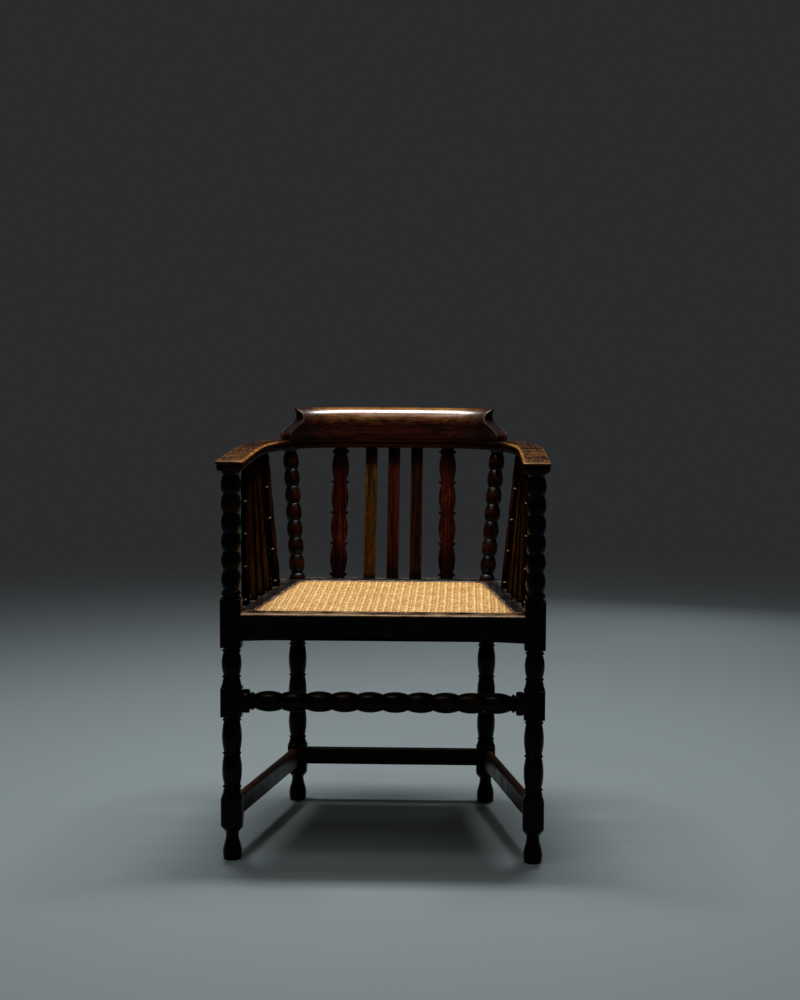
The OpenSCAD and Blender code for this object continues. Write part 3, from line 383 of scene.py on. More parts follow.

# Seat frame. Four oak rails tenoned together: a board 20 thick that reaches in under the cane, over a
# thinner skirt, with an arch under the front rail and rounded rear corners. The top has dust and a painted
# grey sheen, and its arrises are rubbed.
seat_top, ledge_z, board_under = 440, 435, 420
frame_front, frame_rear = -288.5, 178.5
side_front, side_slope = 275.5, 60.5 / 430
side_stretch = math.sqrt(1 + side_slope ** 2)
cane_inset, ledge_inset, skirt_inset, block_inset = 42, 52, 30, 28.8
outer_corner_r, cane_corner_r, skirt_corner_r, ledge_corner_r = 14, 28, 7, 18
joint_y = frame_rear - cane_inset - cane_corner_r
arch_rise = 5.5
rail_section = along([
    [1.2, rail_base], [0.35, rail_base + 0.4], [0, rail_base + 1.4], [0, seat_top - 3], [0.3, seat_top - 1.7],
    [1.0, seat_top - 0.7], [2.2, seat_top - 0.15], [4, seat_top], [cane_inset - 2, seat_top],
    [cane_inset - 0.7, seat_top - 0.2], [cane_inset, seat_top - 0.9], [cane_inset, ledge_z],
    [ledge_inset, ledge_z], [ledge_inset, board_under], [skirt_inset, board_under], [skirt_inset, rail_base],
    [1.2, rail_base]], 3.0)[:-1]
section_inset, section_z = rail_section[:, 0], rail_section[:, 1]


def side_x(y, inset):
    """The frame's side line: x falls by the slope from front to back, and insets are square to the line."""
    return side_front - side_slope * (y - leg_y) - inset * side_stretch


def rail_wear_and_sheen(inset, z):
    """Rubbed arrises: 1 at the top's outer and inner edge, falling off over 4 and 3 mm, less at the bottom
    edge, and dust with a painted grey sheen on the top's outer 30 mm."""
    outer = fade(np.hypot(inset, z - seat_top), 4, -4)
    inner = fade(np.hypot(inset - cane_inset, z - seat_top), 3, -3)
    under = 0.2 * fade(np.hypot(inset, z - rail_base), 4, -4)
    # Dust and a painted grey sheen on the top's outer 30 mm
    top = 0.6 * fade(inset, 30, -30) * (z > seat_top - 0.3)
    return np.maximum(np.maximum(outer, inner), np.maximum(under, top))


# The front rail's pale worn colour serves its rubbed edges and a painted sheen on its top
front_oak = polished_oak("oak_black_front_rail", "#060302", "#140a07", "#c89e74", rough=0.3, gloss=0.1)
# The frame's pale grey worn colour serves its rubbed arrises, and the dust and painted sheen on its top
frame_oak = polished_oak("oak_brown_seat_frame", "#020101", "#35241c", "#8c857c", rough=0.34, gloss=0.14,
                         pore=0.85, pore_wide=1.8, pore_share=0.5)
# Beyond the mouth's ends the front rail's top runs on level to the joints
mouth = np.array([-229.1, 229.1])
x = np.concatenate([np.linspace(-stretcher_half, stretcher_half, 84), mouth - 0.05, mouth + 0.05])
x = np.unique(x)[:, None]
arch = arch_rise * (1 - (x / (stretcher_half + 1)) ** 2)
z = section_z + np.where(section_z < rail_base + 2, arch, 0)
at_mouth = (section_inset > cane_inset - 1.9) & (section_z > ledge_z - 1)
z = np.where((np.abs(x) > mouth[1]) & at_mouth, seat_top, z)
points = grid(x, frame_front + section_inset, z)
# The top's front edge is rubbed pale, and the rest of the top gets a painted grey sheen
rail_rubbed_and_sheen = (z > seat_top - 1.2) * np.clip(0.7 - section_inset / 22, 0.28, 1)
solid("seat_rail_front", "planed", points, front_oak, points[..., [1, 2, 0]],
      np.maximum(rail_wear_and_sheen(section_inset, z), rail_rubbed_and_sheen))
start = np.where(section_inset < block_inset, leg_y + block_half, frame_front + ledge_inset)
y = start + (joint_y - start) * np.linspace(0, 1, 60)[:, None]
for side_name, side in sides:
    points = grid(side * side_x(y, section_inset), y, section_z)
    solid(f"seat_rail_{side_name}", "planed", points, frame_oak, points[..., [0, 2, 1]],
          rail_wear_and_sheen(section_inset, section_z))
# The back rail runs round both rear corners, with a radius for each line of its section
top_share = np.minimum(section_inset / cane_inset, 1)
top_r = (outer_corner_r + (cane_corner_r - outer_corner_r) * top_share
         - np.maximum(section_inset - cane_inset, 0))
low_r = np.where(section_inset < 5, outer_corner_r, skirt_corner_r)
under_board = (section_z < board_under + 1) & (section_inset > skirt_inset + 1)
radius = np.where((section_inset > ledge_inset - 0.1) | under_board, ledge_corner_r,
                  np.where(section_z > ledge_z - 1, top_r, low_r))
corner_y = frame_rear - section_inset - radius
corner_x = side_x(corner_y, section_inset) - radius * side_stretch
lean_angle = math.atan(side_slope)
straight_end = corner_y + radius * math.sin(lean_angle)
side_y = joint_y + (straight_end - joint_y) * np.linspace(0, 1, 14)[:-1, None]
turn = lean_angle + (np.pi / 2 - lean_angle) * np.linspace(0, 1, 14)[:, None]
t = np.linspace(1, 0, 24)[1:, None]
half_x = np.concatenate([side_x(side_y, section_inset), corner_x + radius * np.cos(turn), corner_x * t])
half_y = np.concatenate([side_y, corner_y + radius * np.sin(turn), frame_rear - section_inset + 0 * t])
points = grid(np.concatenate([half_x, -half_x[-2::-1]]), np.concatenate([half_y, half_y[-2::-1]]), section_z)
solid("seat_rail_back", "planed", points, frame_oak, points[..., [1, 2, 0]],
      rail_wear_and_sheen(section_inset, section_z))

# Cane. Close-woven rattan cane, on a ledge in the frame. Ribs run from front to back, and bands of fine
# strands are woven across them, with pin holes in rows between.
cane_gap, cane_top = 0.3, 438
cane_front, cane_rear = frame_front + cane_inset + cane_gap, frame_rear - cane_inset - cane_gap
rib_pitch, band_pitch = 13.4, 11
cane_r = cane_corner_r - cane_gap
arc_y = cane_rear - cane_r
arc_x = side_x(arc_y, cane_inset + cane_gap) - cane_r * side_stretch
round_from = arc_y + cane_r * math.sin(lean_angle)
y = np.linspace(cane_front, cane_rear, 230)[:, None]
round_x = arc_x + np.sqrt(np.clip(cane_r ** 2 - (y - arc_y) ** 2, 0, None))
edge_x = np.where(y > round_from, round_x, side_x(y, cane_inset + cane_gap))
u = np.linspace(-1, 1, 300)
x = edge_x * u
to_ridge = (x / rib_pitch - np.round(x / rib_pitch)) * rib_pitch
edge_gap = np.minimum(np.minimum(edge_x - np.abs(x), y - cane_front), cane_rear - y)
swell = 0.8 * np.exp(-(to_ridge / 1.7) ** 2) + 0.5 * np.abs(np.sin(np.pi * x / rib_pitch))
under_x = edge_x * u[::-12]
points = np.concatenate([grid(x, y, cane_top + swell * fade(edge_gap, 0, 3)), grid(under_x, y, ledge_z)], 1)


def woven_cane(name):
    """Rattan cane, split and woven close: bands of five strands pass over one rib and under the next, turn
    about, waxed to a low sheen. Painted light and shade: straw gold where the strands are high, brown
    between them, a painted highlight along each ridge, and painted shade nearly black in the pin holes."""
    material, add = new_material(name)
    place = add("TexCoord").outputs["Object"]
    xyz = add("SeparateXYZ", {"Vector": place})
    # Ribs and bands, each counted and measured from 0 to 1 across, and bent a little by waves 25 mm long
    bend = add("TexNoise", {"Vector": place, "Scale": 1000 / 25, "Detail": 1.0})
    parts, rounds, counts = [], [], []
    for axis, pitch, bend_share in (("X", rib_pitch, 0.2), ("Y", band_pitch, 1.2)):
        bent = add("Math", [bend, bend_share], operation="MULTIPLY")
        at = add("Math", [xyz.outputs[axis], 1000 / pitch, bent], operation="MULTIPLY_ADD")
        counts.append(add("Math", [at], operation="FLOOR"))
        parts.append(add("Math", [at], operation="FRACT"))
        turn = add("Math", [parts[-1], math.pi], operation="MULTIPLY")
        rounds.append(add("Math", [turn], operation="SINE"))
    (rib_part, band_part), (rib_round, band_round) = parts, rounds
    both = add("Math", counts, operation="ADD")
    odd = add("Math", [both, 2.0], operation="FLOORED_MODULO")
    # A ridge 3.7 mm wide along each rib, and between ridges five strands 2.2 mm wide across, or three along,
    # turn about. Those along are drawn 4.5 mm wide, twice the real width, so that they show
    ridge = add("Math", [rib_round, -2.4, 1.0], operation="MULTIPLY_ADD", use_clamp=True)
    strands = []
    for part, strand_count in ((band_part, 5), (rib_part, 3)):
        turn = add("Math", [part, strand_count * math.pi], operation="MULTIPLY")
        wave = add("Math", [turn], operation="SINE")
        strands.append(add("Math", [wave], operation="ABSOLUTE"))
    strand = add("Mix", {0: odd, 2: strands[0], 3: strands[1]}, data_type="FLOAT")
    strand_high = add("Math", [strand, 0.35], operation="POWER")
    band_high = add("Math", [band_round, 0.35], operation="POWER")
    woven = add("Math", [strand_high, band_high], operation="MULTIPLY")
    raised = add("Math", [woven, ridge], operation="MAXIMUM")
    # Pin holes at the ends of every second band, beside the ridge, painted nearly black as shade
    hole_side = add("Math", [rib_part, 0.27, 0.13], operation="COMPARE")
    hole_end = add("Math", [band_round, 0.6], operation="LESS_THAN")
    hole_place = add("Math", [hole_side, hole_end], operation="MULTIPLY")
    hole = add("Math", [hole_place, odd], operation="MULTIPLY")
    hole_shade = add("Math", [hole, -0.7, 1.0], operation="MULTIPLY_ADD")
    # Fibres 3.8 mm wide and 14 mm long, sun-bleached patches 36 mm across, and a brown border
    fibres_at = add("Mapping", {"Vector": place, "Scale": (260.0, 70.0, 70.0)})
    fibres = add("TexNoise", {"Vector": fibres_at, "Scale": 1.0, "Detail": 4.0})
    uneven = add("MapRange", {"Value": fibres, "From Min": 0.3, "From Max": 0.7,
                              "To Min": 0.45, "To Max": 0.95})
    # Painted light and shade: high strands lighter, low ones darker, and a painted highlight along each ridge
    height_shaded_tone = add("Math", [raised, uneven], operation="MULTIPLY")
    ridge_highlit_tone = add("Math", [ridge, 0.25, height_shaded_tone], operation="MULTIPLY_ADD")
    hole_shaded_tone = add("Math", [ridge_highlit_tone, hole_shade], operation="MULTIPLY")
    patch = add("TexNoise", {"Vector": place, "Scale": 28.0, "Detail": 2.0})
    bleach = add("Math", [patch, 0.55, 0.7], operation="MULTIPLY_ADD")
    sunned = add("Math", [hole_shaded_tone, bleach], operation="MULTIPLY")
    border_soil = add("Attribute", attribute_name="dirt_and_shade").outputs["Fac"]
    border_tone = add("Math", [border_soil, -0.62, 1.0], operation="MULTIPLY_ADD")
    tone = add("Math", [sunned, border_tone], operation="MULTIPLY")
    colour = add("ValToRGB", {"Fac": tone},
                 stops=[(0.05, "#3a1e08"), (1.0, "#f8dba4"), (0.28, "#9c601c"), (0.62, "#d2a453")])
    relief = add("Bump", {"Height": raised, "Strength": 0.7, "Distance": 0.001})
    shader = add("BsdfPrincipled", {"Base Color": colour, "Roughness": 0.5, "Normal": relief, "IOR": 1.46})
    add("OutputMaterial", {"Surface": shader})
    return material


solid("cane_seat", "woven", points, woven_cane("cane_rattan_woven"), points,
      dirt_and_shade=np.concatenate([fade(edge_gap, 9, -9), 0 * under_x], 1))

# Rear posts. Turned oak with seven bobbins, a ring at the foot and a half bead at the head. They stand on
# the seat frame over the rear legs and lean out and back to the bow, with a round tenon at each end.
bow_depth, bow_power, bow_half = 363, 3.4, 24
curve_y = -90
post_head_x = 204
rear_post_neck, rear_post_belly, rear_post_bobbins = 11.25, 15.5, 7
post_ring, post_head, post_flare = 9, 8, 4


def bow_point(phi, off):
    """A point of the bow at the angle phi: its middle line is the superellipse |x / a|^n + |y / b|^n = 1,
    and off is measured square to it, outwards. Gives x and y."""
    c, s = np.cos(phi), np.sin(phi)
    scale = (np.abs(c) ** bow_power + np.abs(s) ** bow_power) ** (1 / bow_power)
    gx = np.sign(c) * (np.abs(c) / scale) ** (bow_power - 1) / front_leg_x
    gy = (np.abs(s) / scale) ** (bow_power - 1) / bow_depth
    size = np.hypot(gx, gy)
    return front_leg_x * c / scale + off * gx / size, curve_y + bow_depth * s / scale + off * gy / size


def phi_at_x(x):
    """The angle of the bow's middle line at x: the arc tangent of (1 - |x / a|^n)^(1/n) over |x / a|."""
    q = np.abs(x) / front_leg_x
    v = (1 - q ** bow_power) ** (1 / bow_power)
    return np.where(np.asarray(x) < 0, np.pi - np.arctan2(v, q), np.arctan2(v, q))


post_oak = polished_oak("oak_black_rear_posts", "#040100", "#150702", "#461c05", rough=0.26, gloss=0.15)
rear_foot = np.array([rear_leg_x, rear_leg_y, seat_top])
rear_head = np.array([post_head_x, bow_point(phi_at_x(post_head_x), 0)[1], bow_under])
post_length = np.linalg.norm(rear_head - rear_foot)
post_swell = rear_post_belly - rear_post_neck
t = np.linspace(0, 1, 10)
post_profile = along(np.concatenate([
    [[rear_post_belly, -6]],
    np.stack([rear_post_neck + post_swell * np.cos(np.pi / 2 * t) ** 0.6, post_ring * t], 1),
    bobbins(post_ring + 2, post_length - post_head, rear_post_bobbins, rear_post_neck, rear_post_belly),
    np.stack([rear_post_neck + post_flare * np.sin(np.pi / 2 * t), post_length - post_head * (1 - t)], 1),
    [[rear_post_neck + post_flare, post_length + 5]]]), 1.6)
for side_name, side in sides:
    flip = np.array([side, 1, 1])
    points, local = turned(post_profile, rear_foot * flip, rear_head * flip)
    reach = np.linalg.norm(local[..., :2], axis=-1)
    solid(f"rear_post_{side_name}", "turned", points, post_oak, local,
          0.42 * fade(reach, 13, 2.5),
          np.maximum(0.8 * fade(reach, 12.8, -1.4), 0.4 * (local[..., 2] < post_ring + 1)))

# Slats. Plain flat oak, planed, three in the back and three in each side, tenoned into the seat frame and
# the bow. In the back the left one has kept the olive gold of plain oak, and the others are red and brown.
# Dirt darkens their feet, a painted shadow of the bow their heads, and painted shade their edges.
slat_half, upright_half_depth, upright_inset = 11.5, 4.75, 13
side_fan, side_rake, side_slat_pitch = 1.11, 12, 54
side_middle_y = leg_y + 208
side_slat_ys = side_middle_y + side_slat_pitch * np.arange(-1, 2)
tenon = 5


def side_ends(side, foot_y):
    """Foot, head and width direction of an upright in a side: feet in line with the frame's side, heads in
    line with the bow, fanned out and raked back, where y' = leg_y + fan * (y - leg_y) + rake."""
    head_x, head_y = front_leg_x - upright_inset, leg_y + (foot_y - leg_y) * side_fan + side_rake
    if head_y > curve_y:
        v = (head_y - curve_y) / bow_depth
        head_x, head_y = bow_point(math.atan2(v, (1 - v ** bow_power) ** (1 / bow_power)), -upright_inset)
    foot_x = side_x(foot_y, upright_inset)
    return (np.array([side * foot_x, foot_y, seat_top]), np.array([side * head_x, head_y, bow_under]),
            (-side * side_slope, 1, 0))


def back_ends(x):
    """Foot, head and width direction of an upright in the back, upright at x and leaning back to the bow."""
    head_y = bow_point(phi_at_x(x), -upright_inset)[1]
    return np.array([x, frame_rear - upright_inset, seat_top]), np.array([x, head_y, bow_under]), (1, 0, 0)


back_slats = {
    "left": (-45, 10, polished_oak("oak_slat_olive", "#180c02", "#402408", "#6a461c", rough=0.4, gloss=0.01)),
    "centre": (0, 50, polished_oak("oak_slat_red", "#130502", "#3a1305", "#5a2614", rough=0.4, gloss=0.01)),
    "right": (45, 26, polished_oak("oak_slat_brown", "#0d0401", "#2d1206", "#4b2012", rough=0.4, gloss=0.01))}
side_slat_oak = polished_oak("oak_slat_side", "#0c0502", "#3e250a", "#744819", rough=0.4, gloss=0.0)
slats = [(f"back_slat_{place}", back_ends(x), soil_height, finish)
         for place, (x, soil_height, finish) in back_slats.items()]
slats += [(f"side_slat_{side_name}_{i + 1}", side_ends(side, foot_y), 10, side_slat_oak)
          for side_name, side in sides for i, foot_y in enumerate(side_slat_ys)]
for node, (low, high, across), soil_height, finish in slats:
    run = axes(low, high, across)[2]
    points, local = rounded_bar(low - tenon * run, high + tenon * run, across, slat_half, upright_half_depth,
                                radius=1.0, step=6.0)
    up_from_foot, down_from_head = local[..., 2] - tenon, local[..., 2].max() - tenon - local[..., 2]
    dark_foot = 0.9 * fade(up_from_foot, soil_height, -soil_height / 1.4)
    # A painted shadow of the bow and crest over the top 41 mm
    bow_shadow_head = 0.95 * fade(down_from_head, 41, -7)
    # Painted shade on the narrow edges, and on the side slats' inner faces
    shaded_face = np.abs(local[..., 0]) > slat_half - 0.6
    if node.startswith("side"):
        shaded_face = local[..., 1] * np.sign(low[0]) > 4.3
    solid(node, "planed", points, finish, local,
          0.6 * edge_wear(local, slat_half, upright_half_depth),
          np.maximum(np.maximum(bow_shadow_head, dark_foot), shaded_face))

# Splats. Flat oak, fretted with a bow saw into four bulges between pointed tabs, one splat on each side of
# the back and two in each side of the chair. Reddish where the polish is thin, nearly black at both ends:
# dirt at the foot and a painted shadow of the bow at the head. Painted shade darkens the fretted edges, and
# the side splats' tabs carry painted glints.
splat_neck, splat_notch, splat_bulge, splat_point, point_half = 8, 11.5, 16.5, 17.25, 4.5
back_splat_x = 106
side_splat_ys = {"front": side_middle_y - 116, "rear": side_middle_y + 116}
bulge_count = 4


def pitch_of(length):
    """The pitch of a splat's tabs: a quarter of its length between the necks."""
    return (length - 2 * splat_neck) / bulge_count


def splat_half_width(s, length):
    """Half the splat's width at s: the notch, or in each quarter notch + (bulge - notch) * sin(pi u)^0.8, or
    near each tab the straight slope of its point."""
    pitch = pitch_of(length)
    at = (s - splat_neck) / pitch
    u = np.clip(((at - np.floor(at)) * pitch - point_half) / (pitch - 2 * point_half - 0.5), 0, 1)
    bulge = np.where((at > 0) & (at < bulge_count), (splat_bulge - splat_notch) * np.sin(np.pi * u) ** 0.8, 0)
    nearest = np.clip(np.round(at), 0, bulge_count)
    point = (splat_point - splat_notch) * (1 - np.abs(at - nearest) * pitch / point_half)
    return splat_notch + np.maximum(np.maximum(bulge, point), 0)


splat_oak = polished_oak("oak_splat_red", "#140401", "#340d04", "#703a16", rough=0.4, gloss=0.01)
# The side splats' pale worn colour paints the glints on their tabs
side_splat_oak = polished_oak("oak_splat_side", "#0c0301", "#331b0a", "#94866c", rough=0.4, gloss=0.0)
splats = [(f"back_splat_{side_name}", back_ends(side * back_splat_x), splat_oak) for side_name, side in sides]
splats += [(f"side_splat_{side_name}_{end}", side_ends(side, foot_y), side_splat_oak)
           for side_name, side in sides for end, foot_y in side_splat_ys.items()]
for node, (low, high, across), finish in splats:
    length = np.linalg.norm(high - low)
    tabs = splat_neck + pitch_of(length) * np.arange(bulge_count + 1)
    s = np.unique(np.concatenate([np.linspace(-tenon, length + tenon, 300), tabs]))
    width = splat_half_width(s, length)
    points, local = rounded_bar(low, high, across, np.stack([s, width], 1), upright_half_depth, radius=0.9)
    # Both ends darker: dirt at the foot, and a painted shadow of the bow at the head
    ends = fade(np.minimum(length - s, s), 66, -30)[:, None]
    at_edge = np.abs(local[..., 0]) > width[:, None] - 0.6
    over_tab = (s - splat_neck) / pitch_of(length) % 1 * pitch_of(length)
    # Dirt and painted shadow at the ends, and painted shade on the fretted edges
    splat_dirt_and_shade = np.maximum(0.9 * ends, 0.85 * at_edge)
    rubbed_and_highlit = 0.12 * ~at_edge
    if node.startswith("side"):
        # Painted glints: the upper slopes of the tabs, on their outer arris, are pale
        rubbed_and_highlit = (np.abs(over_tab - 2.2) < 1.3)[:, None] & at_edge & (local[..., 1] * np.sign(low[0]) > 0)
        splat_dirt_and_shade = splat_dirt_and_shade * ~rubbed_and_highlit
    solid(node, "fretted", points, finish, local, rubbed_and_highlit, splat_dirt_and_shade)

# Arm bow. Three flat pieces of oak, sawn to the curve and moulded along both edges: a lip, a groove and a
# round under it. The arms are rubbed golden on top and along the inner lip, and the middle piece is redder.
# Painted shade darkens the groove and the round, and the middle piece's front under the crest.
arm_front = leg_y - 27
bow_joint_x = 140
arm_corner_r = 3
bow_edge = along([
    [24, 18.95], [20, 18.9], [16, 18.85], [12, 18.8], [8, 18.75], [5, 18.7], [3.2, 18.6], [2.1, 18.4],
    [1.2, 17.9], [0.5, 17.1], [0.15, 16.2], [0, 15], [0, 12.4], [0.3, 11.7], [1.2, 11.3], [2.8, 11.1],
    [3.1, 10.4], [2.9, 9.8], [1.9, 9.4], [1.4, 8.6], [1.2, 7.2], [1.4, 5.4], [1.9, 3.8], [2.7, 2.2],
    [3.7, 1.0], [5, 0.2], [7, 0], [12, 0], [18, 0], [24, 0]], 1.5)
edge_inset, edge_z = bow_edge[:, :1], bow_under + bow_edge[:, 1:]
edge_off = bow_half - edge_inset
lip_wear = fade(np.abs(edge_inset - 1.6), 3.6, -3) * (edge_z > bow_under + 15)
top_wear = 0.34 * fade(edge_z, bow_under + 18, 0.5)
# Painted shade in the groove under the lip, and a little on the round below it
moulding_shade = np.where(edge_z > bow_under + 12, 0, np.where(edge_z > bow_under + 8.5, 0.9, 0.15))
bow_oak = polished_oak("oak_golden_bow", "#120702", "#371a08", "#a86e30", rough=0.36, gloss=0.06,
                       pore=0.8, pore_wide=1.5, pore_share=0.5)


def strip(rows, columns, first=0):
    """Faces of an open sheet from point number first on: (i, j) is joined to (i + 1, j) and to (i, j + 1)."""
    i, j = np.meshgrid(np.arange(rows - 1), np.arange(columns - 1), indexing="ij")
    a = i * columns + j
    return (np.stack([a, a + 1, a + 1 + columns, a + columns], -1).reshape(-1, 4) + first).tolist()


# Each row of an arm runs from the joint along the outer edge, round the front's two corners, and back along
# the inner edge, and one face closes the sheet at the joint
joint_phi = float(phi_at_x(bow_joint_x))
bend = np.linspace(joint_phi, 0, 70)[None, :]
corner_turn = np.linspace(0, np.pi / 2, 7)
corner_r = arm_corner_r * edge_off / bow_half + 0.01
outer_x, outer_y = bow_point(bend, edge_off)
inner_x, inner_y = bow_point(bend[:, ::-1], -edge_off)
front_y = arm_front + edge_inset + corner_r
straight_y = curve_y + (front_y - curve_y) * np.linspace(0, 1, 26)[1:-1]
across = edge_off - corner_r
front_x = across * np.linspace(1, -1, 14)[1:-1]
half_x = np.concatenate([edge_off + 0 * straight_y, across + corner_r * np.cos(corner_turn)], 1)
half_y = np.concatenate([straight_y, front_y - corner_r * np.sin(corner_turn)], 1)
arm_x = np.concatenate([outer_x, front_leg_x + half_x, front_leg_x + front_x, front_leg_x - half_x[:, ::-1],
                        inner_x], 1)
arm_y = np.concatenate([outer_y, half_y, arm_front + edge_inset + 0 * front_x, half_y[:, ::-1], inner_y], 1)
rows, columns = arm_x.shape
joint_face = np.concatenate([np.arange(rows) * columns, np.arange(rows - 1, 1, -1) * columns - 1])
inward = fade(arm_x, front_leg_x, -12)
hand = 0.55 + 0.45 * fade(arm_y, curve_y + 150, -150)
arm_wear = (lip_wear * (0.55 + 0.45 * inward) + top_wear * hand * (1 - lip_wear)) * fade(arm_x, 205, 25)
for side_name, side in sides:
    points = grid(side * arm_x, arm_y, edge_z)
    solid(f"arm_{side_name}", "moulded", points, bow_oak, points[..., [0, 2, 1]],
          arm_wear, moulding_shade, strip(rows, columns) + [joint_face.tolist()])
under_crest_oak = polished_oak("oak_bow_under_crest", "#240a03", "#4e1c08", "#7a4420", rough=0.36, gloss=0.06)
section_off = np.concatenate([edge_off[:, 0], -edge_off[-2:0:-1, 0]])
section_top = np.concatenate([edge_z[:, 0], edge_z[-2:0:-1, 0]])
# Painted shade on the front under the crest and in its groove, and a little in the back's groove
section_shade = np.concatenate([0.1 * moulding_shade[:, 0], np.maximum(moulding_shade[-2:0:-1, 0], 0.35)])
points = grid(*bow_point(np.linspace(joint_phi, np.pi - joint_phi, 90)[:, None], section_off), section_top)
solid("back_rail", "moulded", points, under_crest_oak, points[..., [1, 2, 0]], dirt_and_shade=section_shade)

# Crest rail. One thick piece of oak, hollowed along the front under a rolled top, with ogee ends, screwed to
# the bow from below. The roll shines and is worn golden, and the ends' arrises are rubbed to pale wood,
# their feet to amber. It is darker towards both ends, with painted shade over the lower part.
crest_base, crest_height = bow_under + 19, 60
crest_front, crest_back = -24, 11.5
crest_half, crest_ogee, crest_flare, end_skew = 221, 33, 4, 6.5
roll_deep, roll_high, back_r, hollow, end_r = 28, 34, 3, 3, 1.4
face_high = crest_height - roll_high
top_front, top_back = crest_front + hollow + roll_deep, crest_back - 1 - back_r
top_count, under_count, cap_columns = 3, 5, 9


def face_offset(z):
    """The front: hollowed by a squared sine up to the roll, then a quarter ellipse over to the top."""
    low = crest_front + hollow * np.sin(np.pi / 2 * fade(z, 0, face_high)) ** 2
    rise = fade(z, face_high, roll_high)
    return np.where(z <= face_high, low, top_front - roll_deep * np.sqrt(1 - rise ** 2))


def rear_offset(z):
    """The back: nearly upright, with a quarter circle over to the top."""
    rise = np.clip(z - (crest_height - back_r), 0, back_r)
    low = crest_back - z / (crest_height - back_r)
    over = top_back + np.sqrt(np.clip(back_r ** 2 - rise ** 2, 0, None))
    return np.where(z <= crest_height - back_r, low, over)


def smooth(t):
    """0 up to t = 0, 1 from t = 1 on, and t^2 * (3 - 2 t) between."""
    t = np.clip(t, 0, 1)
    return t ** 2 * (3 - 2 * t)


def end_at(z):
    """Half the rail's length at z: drawn in above the foot by the ogee, and out at the top by the flare."""
    share = z / crest_height
    flare = crest_flare * smooth((share - 0.83) / 0.17)
    return crest_half - crest_ogee * smooth((share - 0.15) / 0.58) + flare


# Each ring of the section runs up the front, over the top, down the back and under. Rings stand along the
# bow, and at both ends they shrink over a quarter circle
roll_turn = np.radians(np.linspace(0, 90, 17))[1:]
crest_z = np.concatenate([np.linspace(0, face_high, 26), face_high + roll_high * np.sin(roll_turn)])
levels = len(crest_z)
top, under = np.full(top_count, float(crest_height)), np.zeros(under_count)
ring_z = np.concatenate([crest_z, top, crest_z[::-1], under])
ring_off = np.concatenate([
    face_offset(crest_z), np.linspace(top_front, top_back, top_count + 2)[1:-1],
    rear_offset(crest_z)[::-1], np.linspace(crest_back, crest_front, under_count + 2)[1:-1]])
end_turn = np.radians(np.pad(np.zeros(130), 5, "linear_ramp", end_values=90))[:, None]
share = np.pad(np.linspace(-1, 1, 130), 5, "edge")[:, None]
reach_in, shrink = end_r * (1 - np.sin(end_turn)), end_r * (1 - np.cos(end_turn))
middle_off = (crest_front + crest_back) / 2
off = middle_off + (ring_off - middle_off) * (1 - 2 * shrink / (crest_back - crest_front))
# The ends' rear edges are drawn in toward the foot
half_length = end_at(ring_z)
toward_back = fade(ring_off, crest_front, crest_back - crest_front)
toward_foot = fade(half_length, crest_half - crest_ogee, crest_ogee)
half_length = half_length - end_skew * toward_back * toward_foot
ring_x = share * (half_length - reach_in)
rings = grid(*bow_point(phi_at_x(ring_x), off), crest_base + np.clip(ring_z - shrink, shrink, None))
rows, columns = ring_x.shape
cap_share = np.linspace(0, 1, cap_columns)
caps, cap_faces = [], []
for ring in (rings[0], rings[-1]):
    front_edge, rear_edge = ring[:levels, None], ring[levels + top_count:2 * levels + top_count][::-1, None]
    cap_faces += strip(levels, cap_columns, rows * columns + len(caps) * levels * cap_columns)
    caps.append(front_edge + (rear_edge - front_edge) * cap_share[:, None])
points = np.concatenate([part.reshape(-1, 3) for part in (rings, *caps)])
near_end = fade(np.abs(half_length - np.abs(ring_x)), 1.8, -1.2)
middle = 1 - fade(np.abs(ring_x), 110, 75) ** 1.5
golden = fade(ring_z, 14, 40) ** 1.35 * (ring_off < top_back + 1) * (0.25 + 0.75 * middle)
at_back = ring_off > 2
ring_wear = np.maximum(0.7 * near_end * ~at_back, 0.74 * golden)
# Darker towards both ends and on the ends' back arrises, with a painted shade over the lower part
ring_darkening = np.maximum(0.65 * (1 - middle) + 0.35 * fade(ring_z, 36, -20), near_end * at_back)
outer_foot = fade(crest_z, 22, -12)[:, None] * cap_share ** 2
cap_wear = np.where(cap_share == 0, 0.6, 0.75 * outer_foot)
cap_soil = 1 - 0.7 * outer_foot
crest_oak = polished_oak("oak_crest_polished", "#160401", "#521b05", "#94601f", rough=0.2, gloss=0.08,
                         coat=1.0, pore_wide=1.8)
solid("crest_rail", "shaped", points, crest_oak, points[:, [1, 2, 0]],
      np.concatenate([part.ravel() for part in (ring_wear, cap_wear, cap_wear)]),
      np.concatenate([part.ravel() for part in (ring_darkening, cap_soil, cap_soil)]),
      loops(rows, columns, caps=False) + cap_faces)

# Hidden pieces. Glue blocks and dowels of bare beech, sawn and glued in, and drawn steel screws gone dull.
# They keep the solids' own meshes.


def bare_beech(name):
    """Beech, sawn and left bare: pale, with small darker flecks about 1 by 3 mm."""
    material, add = new_material(name)
    place = add("TexCoord").outputs["Object"]
    fleck_at = add("Mapping", {"Vector": place, "Scale": (900.0, 900.0, 300.0)})
    fleck = add("TexNoise", {"Vector": fleck_at, "Scale": 1.0, "Detail": 3.0})
    colour = add("ValToRGB", {"Fac": fleck}, stops=[(0.35, "#7d5a38"), (0.65, "#a98458")])
    relief = add("Bump", {"Height": fleck, "Strength": 0.3, "Distance": 0.0002})
    shader = add("BsdfPrincipled", {"Base Color": colour, "Roughness": 0.7, "Normal": relief, "IOR": 1.5})
    add("OutputMaterial", {"Surface": shader})
    return material


